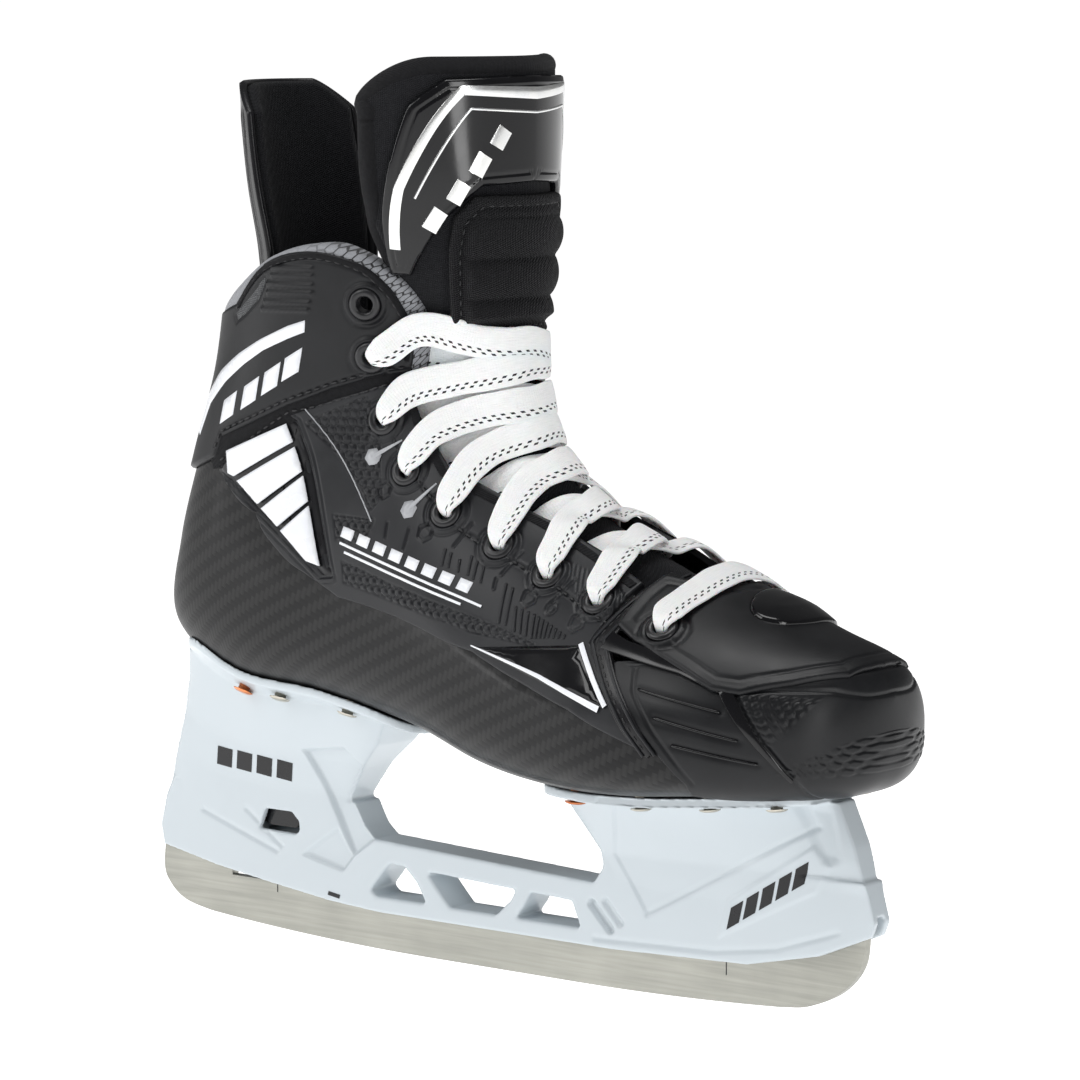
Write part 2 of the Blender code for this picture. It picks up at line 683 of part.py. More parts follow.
def rivet_direction(x, y):
    """Upward direction square to the sole at (x, y)."""
    step = 2.0
    slope_x = (boot.under(x + step, y) - boot.under(x - step, y)) / (2 * step)
    slope_y = (boot.under(x, y + step) - boot.under(x, y - step)) / (2 * step)
    return Vector((-slope_x, -slope_y, 1.0)).normalized()


def rivet_cutter():
    """All rivet holes, through the holder flanges and the sole."""
    bm = bmesh.new()
    for _, place, _ in rivet_places():
        bmesh.ops.create_cone(bm, cap_ends=True, segments=8, radius1=RIVET_HOLE_R, radius2=RIVET_HOLE_R,
                              depth=14, matrix=place)
    return add_cutter("rivet_holes", bm)


# ==============================================================================================
# Blade holder, blade and release
# ==============================================================================================
def plate(name, outline, half, holes=(), collection=None, finish=None):
    """A flat outline in the XZ plane, thickened equally to both sides of y = 0."""
    curve = bpy.data.curves.new(name, "CURVE")
    curve.dimensions = "2D"
    curve.fill_mode = "BOTH"
    curve.extrude = half * MM
    for loop in (outline, *holes):
        line = curve.splines.new("POLY")
        line.points.add(len(loop) - 1)
        line.use_cyclic_u = True
        for spot, (x, z) in zip(line.points, loop):
            spot.co = (x * MM, z * MM, 0.0, 1.0)
    guide = bpy.data.objects.new(name + "_curve", curve)
    guide.rotation_euler = (math.pi / 2, 0, 0)
    CUTTERS.objects.link(guide)
    bpy.context.view_layer.update()
    mesh = bpy.data.meshes.new_from_object(guide.evaluated_get(bpy.context.evaluated_depsgraph_get()))
    mesh.name = name
    bm = bmesh.new()
    bm.from_mesh(mesh)
    bmesh.ops.remove_doubles(bm, verts=bm.verts, dist=1e-6)
    bmesh.ops.recalc_face_normals(bm, faces=bm.faces)
    bm.to_mesh(mesh)
    bm.free()
    mesh.materials.clear()
    mesh.materials.append(finish or RUBBER)
    item = bpy.data.objects.new(name, mesh)
    item.matrix_world = guide.matrix_world
    bpy.data.objects.remove(guide)
    (collection or SKATE).objects.link(item)
    if collection is CUTTERS:
        item.hide_render = True
        item.display_type = "WIRE"
    return item


def arc(centre, radius, start, stop, count):
    """Points on an arc in the XZ plane, angles in degrees from +X towards +Z."""
    return [(centre[0] + radius * math.cos(math.radians(a)), centre[1] + radius * math.sin(math.radians(a)))
            for a in steps(start, stop, count)]


HOLDER_OUTLINE = (
    (-143.2, 25.2), (-120.0, 20.8), (-95.9, 17.6), (-70.0, 14.6), (-48.6, 13.3), (45.9, 13.3), (98.4, 15.2),
    (125.0, 21.0), (142.7, 28.5), (144.5, 33.0), (141.0, 45.0), (46.0, 45.0), (43.5, 39.6), (39.2, 33.7),
    (-50.8, 37.2), (-55.0, 41.0), (-59.0, 48.0), (-139.0, 48.0), (-142.0, 42.0), (-144.5, 31.8),
)
TRUSS_HOLES = (
    ((-47.0, 27.0), (-52.5, 20.5), (-50.0, 18.6), (-29.0, 18.6), (-33.0, 25.0), (-38.0, 29.5), (-44.0, 29.8)),
    ((-29.0, 29.0), (-19.0, 18.6), (0.0, 18.6), (6.0, 24.0), (8.0, 27.6)),
    ((14.0, 27.4), (11.0, 22.5), (8.0, 18.6), (34.0, 18.6), (30.5, 26.8)),
)
# tower outline by height: share of the way up, rear x, front x, half width
REAR_TOWER = ((0.0, -142.5, -60.0, 6.5), (0.35, -138.0, -61.0, 7.0), (0.6, -132.0, -54.0, 9.0),
              (0.8, -128.0, -46.0, 12.0), (0.999, -125.5, -41.0, 15.0))
FRONT_TOWER = ((0.0, 43.0, 142.5, 6.5), (0.35, 42.0, 139.5, 7.5), (0.6, 38.0, 137.0, 10.5),
               (0.8, 35.0, 134.5, 14.0), (0.999, 33.0, 133.0, 17.0))
REAR_FLANGE = (-122.5, -26.0, 23.0)
FRONT_FLANGE = (29.0, 131.0, 26.5)
TOWER_BASE = 34.0


def profile_at(rows, h):
    for a, b in zip(rows, rows[1:]):
        if h <= b[0]:
            f = (h - a[0]) / (b[0] - a[0])
            return [p + (q - p) * f for p, q in zip(a[1:], b[1:])]
    return list(rows[-1][1:])


def tower(name, rows, flange):
    """A leg that flares up to a flange lip whose top follows the sole."""
    columns, across, levels = 12, 6, 5
    bm = bmesh.new()

    def layer(x0, x1, half, corner, height):
        """A grid of points; corner rounds its plan, height(x, y) gives z."""
        grid = []
        for u in steps(0.0, 1.0, columns):
            x = x0 + (x1 - x0) * u
            end = half * (1 - corner * abs(2 * u - 1) ** 8)
            grid.append([bm.verts.new((x, y, height(x, y))) for y in steps(-end, end, across)])
        return grid

    def lip_low(x, y):
        return boot.under(x, y) - SOLE_GAP - FLANGE

    layers = []
    for share in steps(0.0, 1.0, levels):
        x0, x1, half = profile_at(rows, share)
        layers.append(layer(x0, x1, half, 0.18, lambda x, y: TOWER_BASE + (lip_low(x, y) - TOWER_BASE) * share))
    layers.append(layer(*flange, 0.30, lip_low))
    layers.append(layer(*flange, 0.30, lambda x, y: lip_low(x, y) + FLANGE))
    for i in range(columns):
        for j in range(across):
            for grid, flip in ((layers[0], False), (layers[-1], True)):
                quad = [grid[i][j], grid[i][j + 1], grid[i + 1][j + 1], grid[i + 1][j]]
                bm.faces.new(quad[::-1] if flip else quad)
    rim = [(i, 0) for i in range(columns)] + [(columns, j) for j in range(across)]
    rim += [(i, across) for i in range(columns, 0, -1)] + [(0, j) for j in range(across, 0, -1)]
    for low, high in zip(layers, layers[1:]):
        for (a, b), (c, d) in zip(rim, rim[1:] + rim[:1]):
            bm.faces.new((low[a][b], low[c][d], high[c][d], high[a][b]))
    bmesh.ops.delete(bm, geom=[v for v in bm.verts if not v.link_faces], context="VERTS")
    bmesh.ops.recalc_face_normals(bm, faces=bm.faces)
    return add_cutter(name, bm)


SLOT = (
    (-150.0, 5.0), (-150.0, 33.0), (-126.0, 33.0), (-126.0, 38.0), (-107.0, 38.0), (-106.0, 18.0),
    (100.0, 18.0), (103.0, 34.5), (150.0, 34.5), (150.0, 5.0),
)
WINDOW = ((-100.5, 35.2), (-97.5, 42.2), (-86.0, 42.2), (-83.0, 39.5), (-83.0, 36.2), (-84.5, 35.0))
CHAMBER = (
    (-126.0, 24.0), (-126.0, 53.0), (-111.5, 55.0), (-111.5, 58.6), (-102.5, 58.6), (-102.5, 53.0), (-84.0, 51.0),
    (-81.0, 47.0), (-81.0, 34.0), (-105.0, 33.5), (-107.0, 26.0), (-107.5, 16.0), (-126.0, 16.0),
)
CHAMBER_HALF = 4.2
TRIGGER_HALF = 3.6
PIN_HALF = 5.6


def build_holder(rivet_holes):
    holder = plate("blade_holder", HOLDER_OUTLINE, RAIL_HALF, TRUSS_HOLES, SKATE, HOLDER_WHITE)
    cut(holder, tower("rear_tower", REAR_TOWER, REAR_FLANGE), "UNION")
    cut(holder, tower("front_tower", FRONT_TOWER, FRONT_FLANGE), "UNION")
    cut(holder, plate("blade_slot", SLOT, SLOT_HALF, (), CUTTERS))
    cut(holder, plate("trigger_chamber", CHAMBER, CHAMBER_HALF, (), CUTTERS))
    cut(holder, plate("trigger_window", WINDOW, 20.0, (), CUTTERS))
    cut(holder, plate("pin_bore", arc(LATCH_PIN, PIN_BORE_R, 0, 330, 11), PIN_HALF + 0.3, (), CUTTERS))
    cut(holder, rivet_holes)


BLADE_TOE = ((118.0, 4.0), (128.0, 8.3), (134.5, 13.6), (138.2, 19.5), (139.3, 26.0), (139.3, 30.5))
BLADE_TOP = ((126.0, 31.0), (104.0, 31.0), (101.0, 17.2), (-116.8, 17.2), (-116.8, 29.8), (-113.5, 29.8),
             (-113.5, 34.0), (-120.0, 34.0), (-124.0, 30.0))
BLADE_HEEL = ((-146.5, 29.0), (-147.5, 16.5), (-144.2, 10.5), (-138.0, 6.4), (-128.0, 4.2))
ROCKER = 0.00042
ROCKER_FLAT = 30.0


def build_blade():
    """Steel runner with a long, shallow rocker along the edge that meets the ice."""
    rocker = [(x, ROCKER * max(0.0, abs(x) - ROCKER_FLAT) ** 2) for x in steps(-118.0, 108.0, 16)]
    outline = [*rocker, *BLADE_TOE, *BLADE_TOP, *BLADE_HEEL]
    plate("blade", outline, BLADE_HALF, (), SKATE, STEEL)


TRIGGER_HUB_R = 4.2
TRIGGER_ARM = (
    (-113.6, 38.5), (-113.0, 30.4), (-111.6, 28.4), (-109.4, 30.4), (-108.9, 37.0), (-100.0, 37.2), (-97.0, 36.4),
    (-86.5, 36.4), (-85.0, 38.0), (-86.5, 41.6), (-98.0, 43.0), (-102.0, 48.6), (-111.0, 49.0),
)


def build_trigger():
    """Lever with a finger pad in the window, a hook at the blade and a hub on the pin."""
    hub = arc(LATCH_PIN, TRIGGER_HUB_R, 60, 250, 9)
    bore = arc(LATCH_PIN, PIN_BORE_R, 0, 330, 11)
    plate("release_trigger", [*hub, *TRIGGER_ARM], TRIGGER_HALF, (bore,), SKATE, GLOSS_BLACK)


def build_trigger_pin():
    points = [Vector((LATCH_PIN[0], y, LATCH_PIN[1])) for y in (-PIN_HALF, PIN_HALF)]
    tube("trigger_pin", points, PIN_R, STEEL)


SPRING_AT = (-107.0, 49.4, 58.2)
SPRING_TURNS = 4


def build_spring():
    """Compression spring between the trigger and the roof of its chamber."""
    x, low, high = SPRING_AT
    wire, radius, per_turn = 0.45, 2.4, 8
    heights = steps(low + wire, high - wire, SPRING_TURNS * per_turn)
    points = []
    for k, z in enumerate(heights):
        angle = math.tau * k / per_turn
        points.append(Vector((x + radius * math.cos(angle), radius * math.sin(angle), z)))
    tube("trigger_spring", points, wire, STEEL, 1)


# ==============================================================================================
# Lace
# ==============================================================================================
LACE_WIDTH = 8.4
LACE_THICK = 1.4
BORE_WIDTH = 3.8
TOE_BAR_ROW = 4.22


def ribbon(name, stops, finish):
    """A flat lace through stops of (point, normal, width)."""
    bm = bmesh.new()
    rings = []
    for k, (point, normal, width) in enumerate(stops):
        before, after = stops[max(k - 1, 0)][0], stops[min(k + 1, len(stops) - 1)][0]
        ahead = (after - before).normalized()
        across = normal.cross(ahead).normalized()
        up = ahead.cross(across).normalized()
        rings.append([bm.verts.new(point + across * (a * width / 2) + up * (b * LACE_THICK / 2))
                      for a, b in ((-1, -1), (1, -1), (1, 1), (-1, 1))])
    for low, high in zip(rings, rings[1:]):
        for k in range(4):
            m = (k + 1) % 4
            bm.faces.new((low[k], low[m], high[m], high[k]))
    bm.faces.new(rings[0][::-1])
    bm.faces.new(rings[-1])
    bmesh.ops.recalc_face_normals(bm, faces=bm.faces)
    return add_mesh(name, bm, finish)


# throat edge of the boot as (s, v), from the toe up
THROAT_EDGE = (
    (4.2, 0.88), (4.8, 0.875), (6.3, 0.875), (7.2, 0.865), (8.4, 0.83), (9.8, 0.82), (11.4, 0.83), (13.5, 0.84),
)


class Facing:
    """One eyelet's surroundings on its side: places across the facing, at given heights."""

    def __init__(self, index, side):
        self.side = side
        self.s, v = boot.from_side(*EYELETS[index], side)
        self.v = abs(v)
        self.low, self.high = eyelet_layer(index)
        self.edge = blend(THROAT_EDGE, self.s)
        reach = (boot.point(self.s, side * self.edge) - boot.point(self.s, side * self.v)).length
        self.per_mm = (self.edge - self.v) / reach
        self.reach = reach

    def place(self, toward_throat, out, shift=0.0):
        s = self.s + shift
        v = self.v + toward_throat * self.per_mm
        return boot.point(s, self.side * v, out), boot.normal(s, self.side * v)

    def toward(self):
        a, _ = self.place(0.0, 0.0)
        b, _ = self.place(3.0, 0.0)
        return (b - a).normalized()


# how far round the tongue a strand may follow it, as a share of v from the centre line
SHOULDER = 0.34
# from this row up the strands bend round a narrow ankle and need more stops
ANKLE_FROM = 7.5
# depth of a strand that runs inside a facing, below the facing's inner face
INSIDE_DROP = 3.2
# heights above the tongue where two strands cross: the upper one and the lower one
OVER, UNDER = 4.9, 2.5
# how much lower than its eyelet the lace ends, where it is tucked away at the top
TOP_TUCK = 0.9


def tongue_spot(base, out):
    """The place on the tongue in front of a point, with the tongue's normal there."""
    q = min(steps(1.0, 9.0, 80), key=lambda s: (tongue.point(s, 1.0) - Vector((base.x, 0, base.z))).length)
    low, high = 1 - SHOULDER, 1 + SHOULDER
    for _ in range(24):
        v = (low + high) / 2
        low, high = (v, high) if tongue.on_surface(q, v).y > base.y else (low, v)
    return tongue.point(q, v, out), tongue.normal(q, v)


def through_eyelet(spot, flip):
    """Stops from the inside of an eyelet out through it and on over the facing to its edge."""
    toward = spot.toward()
    stops = []
    for along, out, width, lean in ((5.0, spot.low - 3.0, 6.0, 0.0), (0.9, spot.low - 2.5, BORE_WIDTH, 0.6),
                                    (0.0, spot.low - 0.6, BORE_WIDTH, 1.0), (0.0, spot.high + 0.4, BORE_WIDTH, 1.0),
                                    (0.9, spot.high + 2.3, BORE_WIDTH, 1.4), (5.0, spot.high + 2.9, 6.0, 2.0),
                                    (9.0, spot.high + 2.2, LACE_WIDTH, 2.0)):
        place, normal = spot.place(along, out)
        turn = lean * math.pi / 2
        stops.append((place, (normal * math.cos(turn) + toward * math.sin(turn)) * flip, width))
    return stops


def crossing(spot, target, up_out, flip, tuck=0.30):
    """Stops from one facing's edge over the tongue and under the edge of the other facing."""
    rise = target.s - spot.s or 1.0
    start, normal = spot.place(spot.reach, spot.high + 1.8, 0.25 * rise)
    stops = [(start, normal * flip, LACE_WIDTH)]
    far, far_normal = target.place(target.reach - 3.8, target.low - INSIDE_DROP, -tuck * rise)
    shares = (0.25, 0.38, 0.5, 0.62, 0.75)
    if spot.s > ANKLE_FROM:
        shares = (0.1, *shares, 0.9)
    for share in shares:
        base = start.lerp(far, share)
        lift = up_out if 0.3 < share < 0.7 else (up_out + UNDER) / 2
        place, normal = tongue_spot(base, lift)
        stops.append((place, normal * flip, LACE_WIDTH))
    stops.append((far, far_normal * flip, LACE_WIDTH))
    place, normal = target.place(9.0, target.low - INSIDE_DROP - 0.4, -tuck * rise / 2)
    stops.append((place, normal * flip, 7.0))
    return stops


def lace_half(start_side):
    """Stops of half the lace, from the middle of the toe bar to its tuck at the top."""
    side = start_side
    stops = []
    for v in (1.0, 0.94, 0.90):
        stops.append((boot.point(TOE_BAR_ROW, side * v, 5.4), boot.normal(TOE_BAR_ROW, side * v), LACE_WIDTH))
    stops += through_eyelet(Facing(TOE_EYELET, side), -1)[::-1]
    # straight up inside to the next eyelet on the same side
    place, normal = Facing(TOE_EYELET - 1, side).place(6.0, SKIN[0] - 3.0, -0.45)
    flip = 1
    stops.append((place, normal, 7.0))
    for index in range(TOE_EYELET - 1, COLLAR_EYELETS - 1, -1):
        spot = Facing(index, side)
        stops += through_eyelet(spot, flip)
        flip = -flip
        target = Facing(index - 1, -side)
        stops += crossing(spot, target, OVER if side == LATERAL else UNDER, flip)
        side = -side
    spot = Facing(COLLAR_EYELETS - 1, side)
    stops += through_eyelet(spot, flip)
    flip = -flip
    end = Facing(COLLAR_EYELETS - 1, -side)
    end_run = crossing(spot, end, OVER if side == LATERAL else UNDER, flip, TOP_TUCK)
    return stops + end_run[:-1]


def build_lace():
    first, second = lace_half(LATERAL), lace_half(MEDIAL)
    return ribbon("lace", first[::-1] + second[1:], LACE)


TAIL_R = 1.6
# lateral tail: from its tuck behind the facing, down inside the boot to the hank
TAIL_ROUTE = ((-25.0, -18.6, 184.0), (-31.0, -18.0, 176.0), (-37.5, -18.0, 164.0), (-42.0, -17.0, 148.0),
              (-46.0, -15.5, 132.0), (-48.5, -12.5, 118.0), (-49.5, -10.0, 111.0))
HANK_CENTRE = (-48.0, 101.2)
HANK_SLOPE = 0.15
HANK_LENGTH, HANK_WIDTH, HANK_HEIGHT = 96.0, 30.0, 9.0


def smooth_route(points, per_span):
    """Catmull-Rom points through a route."""
    out = []
    padded = [points[0], *points, points[-1]]
    for i in range(len(points) - 1):
        a, b, c, d = (Vector(padded[i + k]) for k in range(4))
        for k in range(per_span):
            f = k / per_span
            out.append(0.5 * (2 * b + (c - a) * f + (2 * a - 5 * b + 4 * c - d) * f * f
                              + (-a + 3 * b - 3 * c + d) * f ** 3))
    return out + [Vector(points[-1])]


def build_tails():
    for side, name in ((LATERAL, "lace_tail_lateral"), (MEDIAL, "lace_tail_medial")):
        route = [Vector((x, -side * y, z)) for x, y, z in TAIL_ROUTE]
        tube(name, smooth_route(route, 3), TAIL_R, LACE)


def build_hank():
    """Both lace ends wound into one flat hank on the footbed: an outline with round ends."""
    bm = bmesh.new()
    radius = HANK_WIDTH / 2
    straight = HANK_LENGTH / 2 - radius
    outline = [(straight + radius * math.cos(a), radius * math.sin(a)) for a in steps(-math.pi / 2, math.pi / 2, 8)]
    outline += [(-x, -y) for x, y in outline]
    low = [bm.verts.new((x, y, -HANK_HEIGHT / 2)) for x, y in outline]
    high = [bm.verts.new((x, y, HANK_HEIGHT / 2)) for x, y in outline]
    bm.faces.new(low[::-1])
    bm.faces.new(high)
    for k in range(len(outline)):
        m = (k + 1) % len(outline)
        bm.faces.new((low[k], low[m], high[m], high[k]))
    tilt = Matrix.Rotation(math.atan(HANK_SLOPE), 4, "Y")
    place = Matrix.Translation((HANK_CENTRE[0], 0.0, HANK_CENTRE[1])) @ tilt
    bmesh.ops.transform(bm, matrix=place, verts=bm.verts)
    return add_mesh("lace_hank", bm, LACE)


# ==============================================================================================
# The skate
# ==============================================================================================
def build_skate():
    rivet_holes = rivet_cutter()
    cut(build_shell(), rivet_holes)
    build_liner()
    build_footbed()
    build_skin(LATERAL, "lateral_quarter_skin")
    build_skin(MEDIAL, "medial_quarter_skin")
    build_collar()
    build_accent(LATERAL, "lateral_accent_plate")
    build_accent(MEDIAL, "medial_accent_plate")
    build_toe_cap()
    build_toe_cover()
    build_toe_badge()
    build_tongue()
    build_tongue_binding()
    build_tendon_guard()
    build_eyelets()
    build_holder(rivet_holes)
    build_rivets()
    build_blade()
    build_trigger()
    build_trigger_pin()
    build_spring()
    build_lace()
    build_tails()
    build_hank()


build_skate()
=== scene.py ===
"""Looks of the ice hockey skate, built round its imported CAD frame.

Sizes are in millimetres and become metres when a mesh is made.  A surface of the boot, tongue
or tendon guard is addressed by s (cross-section) and v (way round, 0 far line, 1 near line,
negative on the lateral side), as in the CAD.  "side" coordinates are a point's x and z.
"""

import math

import bmesh
import bpy
import numpy as np
from mathutils import Matrix, Vector
from mathutils.bvhtree import BVHTree
from mathutils.geometry import delaunay_2d_cdt
from mathutils.kdtree import KDTree


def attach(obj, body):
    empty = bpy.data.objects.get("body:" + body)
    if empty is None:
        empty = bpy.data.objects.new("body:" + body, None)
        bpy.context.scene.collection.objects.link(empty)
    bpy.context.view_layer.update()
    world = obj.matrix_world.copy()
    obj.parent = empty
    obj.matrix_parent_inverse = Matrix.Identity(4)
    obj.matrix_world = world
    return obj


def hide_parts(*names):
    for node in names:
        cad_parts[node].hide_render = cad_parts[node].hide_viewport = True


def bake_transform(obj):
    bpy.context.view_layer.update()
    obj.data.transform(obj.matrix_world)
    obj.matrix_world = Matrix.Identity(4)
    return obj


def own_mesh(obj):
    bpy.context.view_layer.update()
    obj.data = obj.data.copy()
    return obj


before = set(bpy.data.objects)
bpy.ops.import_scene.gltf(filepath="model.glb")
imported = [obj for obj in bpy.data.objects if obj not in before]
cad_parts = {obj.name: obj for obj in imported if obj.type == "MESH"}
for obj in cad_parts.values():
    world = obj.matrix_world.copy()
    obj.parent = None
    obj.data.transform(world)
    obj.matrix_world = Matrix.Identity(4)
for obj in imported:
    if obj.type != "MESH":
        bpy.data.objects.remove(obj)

MM = 0.001
LATERAL, MEDIAL = -1, 1
SIDES = ((LATERAL, "lateral"), (MEDIAL, "medial"))
MERGE = 1e-6
ROOT, TONGUE_TOP, TENDON, RUNNER = "boot_and_holder", "tongue_top", "tendon_flap", "runner"
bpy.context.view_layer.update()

# ==============================================================================================
# Camera
# ==============================================================================================
AZIMUTH, ELEVATION, DISTANCE = math.radians(38.95), math.radians(6.84), 1.597
TARGET = Vector((0.0128, 0.0, 0.13825))

camera_data = bpy.data.cameras.new("camera")
camera_data.lens = 170.3
camera_data.sensor_width = 36.0
camera = bpy.data.objects.new("camera", camera_data)
bpy.context.scene.collection.objects.link(camera)
view = Vector((math.sin(AZIMUTH) * math.cos(ELEVATION), -math.cos(AZIMUTH) * math.cos(ELEVATION),
               math.sin(ELEVATION)))
camera.location = TARGET + view * DISTANCE
camera.rotation_euler = (-view).to_track_quat("-Z", "Y").to_euler()
bpy.context.scene.camera = camera

# ==============================================================================================
# Small numerical helpers
# ==============================================================================================
def ramp(value, low, high):
    """A smooth step from 0 at low to 1 at high."""
    t = np.clip((value - low) / (high - low), 0, 1)
    return t * t * (3 - 2 * t)


def blend(table, s):
    """Read a table of (s, value) pairs."""
    return np.interp(s, *zip(*table))


def unit(vectors):
    return vectors / np.maximum(np.linalg.norm(vectors, axis=-1, keepdims=True), 1e-9)


def travelled(points):
    """The distance along a polyline at each of its points."""
    return np.concatenate([[0], np.cumsum(np.linalg.norm(np.diff(points, axis=0), axis=1))])


def circle(count):
    """Evenly spaced angles once round."""
    return np.linspace(0, math.tau, count, endpoint=False)


def between(a, b, c, d, f):
    """The Catmull-Rom value at share f of the way from b to c."""
    square, cube = 2 * a - 5 * b + 4 * c - d, -a + 3 * b - 3 * c + d
    return 0.5 * (2 * b + (c - a) * f + square * f ** 2 + cube * f ** 3)


def smooth_line(points, per_span):
    """A smooth curve through rows of any width."""
    points = np.asarray(points, float)
    padded = np.vstack([2 * points[0] - points[1], points, 2 * points[-1] - points[-2]])
    shares = np.linspace(0, 1, per_span, endpoint=False)
    spans = [between(*padded[i:i + 4], f) for i in range(len(points) - 1) for f in shares]
    return np.array(spans + [points[-1]])


def rounded(points, per_span=5):
    """A smooth curve through side points."""
    return [tuple(p) for p in smooth_line(points, per_span)]


def even_line(points, pitch):
    """A polyline resampled at an even pitch."""
    points = np.asarray(points, float)
    at = travelled(points)
    want = np.linspace(0, at[-1], max(2, int(at[-1] / pitch)))
    return np.stack([np.interp(want, at, column) for column in points.T], axis=1)


# ==============================================================================================
# Reference surfaces, as in the CAD
# ==============================================================================================
# a section's row: x and z of its low end, x and z of its top end, half width, where it is widest,
# roundness of its low part, roundness of its top part, y of its middle
BOOT_SECTIONS = (
    (144.5, 88.0, 144.5, 101.0, 0.0, 0.50, 2.4, 2.4, 1.5),
    (141.8, 77.5, 141.8, 107.5, 16.0, 0.46, 2.8, 2.3, 1.5),
    (133.5, 73.0, 133.5, 112.5, 29.5, 0.42, 3.4, 2.2, 1.5),
    (118.0, 71.0, 116.5, 118.5, 41.0, 0.40, 4.0, 2.1, 1.5),
    (96.0, 69.0, 94.0, 127.5, 48.0, 0.38, 4.2, 1.9, 1.2),
    (70.0, 66.5, 67.0, 139.0, 49.5, 0.36, 4.2, 1.65, 1.0),
    (42.0, 65.8, 41.0, 150.0, 46.0, 0.38, 4.0, 1.55, 0.5),
    (12.0, 68.5, 20.0, 160.0, 41.5, 0.42, 3.6, 1.6, 0.0),
    (-22.0, 77.0, 7.5, 171.0, 38.0, 0.46, 3.2, 1.7, 0.0),
    (-62.0, 83.0, 1.5, 182.0, 35.5, 0.46, 3.0, 1.8, 0.0),
    (-102.5, 85.0, -1.5, 192.0, 34.0, 0.44, 2.7, 1.9, 0.0),
    (-130.5, 100.0, -2.5, 200.5, 33.0, 0.44, 2.5, 2.0, 0.0),
    (-128.5, 126.0, -3.0, 208.5, 34.0, 0.44, 2.4, 2.0, 0.0),
    (-118.8, 155.0, -3.5, 216.0, 36.0, 0.44, 2.3, 2.0, 0.0),
    (-108.6, 184.0, -4.0, 223.5, 37.5, 0.45, 2.2, 2.0, 0.0),
    (-103.0, 212.0, -4.5, 231.0, 38.5, 0.46, 2.2, 2.0, 0.0),
    (-99.0, 236.0, -5.0, 240.0, 38.5, 0.47, 2.2, 2.0, 0.0),
)
TONGUE_SECTIONS = (
    (88.0, 96.0, 96.0, 119.0, 25.0, 0.20, 2.0, 1.8, 1.0),
    (68.0, 102.0, 80.0, 127.0, 27.0, 0.20, 2.0, 1.8, 1.0),
    (50.0, 108.0, 64.0, 134.0, 26.5, 0.20, 2.0, 1.8, 0.5),
    (32.0, 116.0, 48.0, 141.0, 24.5, 0.20, 2.0, 1.8, 0.0),
    (14.0, 126.0, 34.0, 148.5, 22.5, 0.20, 2.0, 1.8, 0.0),
    (-4.0, 140.0, 22.0, 158.5, 20.0, 0.20, 2.0, 1.9, 0.0),
    (-19.0, 158.0, 13.0, 170.5, 17.5, 0.20, 2.0, 2.0, 0.0),
    (-27.0, 179.0, 8.5, 185.0, 16.5, 0.20, 2.0, 2.1, 0.0),
    (-30.0, 199.0, 7.0, 200.0, 17.5, 0.20, 2.0, 2.1, 0.0),
    (-31.0, 220.0, 7.5, 220.0, 27.0, 0.15, 2.0, 1.9, 0.0),
    (-31.0, 245.0, 8.0, 245.0, 38.0, 0.12, 2.0, 1.7, 0.0),
    (-30.0, 270.0, 8.5, 270.0, 42.0, 0.12, 2.0, 1.6, 0.0),
    (-29.0, 286.0, 8.7, 286.0, 42.0, 0.12, 2.0, 1.6, 0.0),
)
GUARD_SECTIONS = (
    (-96.0, 188.0, -34.0, 188.0, 27.0, 0.50, 2.0, 2.0, 0.0),
    (-93.5, 206.0, -34.0, 206.0, 28.0, 0.50, 2.0, 2.0, 0.0),
    (-94.5, 226.0, -34.0, 226.0, 29.5, 0.50, 2.0, 2.0, 0.0),
    (-98.0, 246.0, -36.0, 246.0, 31.0, 0.50, 2.0, 2.0, 0.0),
    (-101.0, 264.0, -40.0, 264.0, 30.0, 0.50, 2.0, 2.0, 0.0),
    (-103.0, 279.0, -42.0, 279.0, 29.0, 0.50, 2.0, 2.0, 0.0),
)
EYELETS = (
    (-31.0, 212.3), (-31.5, 195.6), (-28.4, 175.5), (-17.0, 160.0), (0.0, 148.0),
    (20.0, 139.0), (40.0, 131.4), (61.0, 125.0), (87.5, 117.6),
)
COLLAR_EYELETS = 2
TOE_EYELET = 8


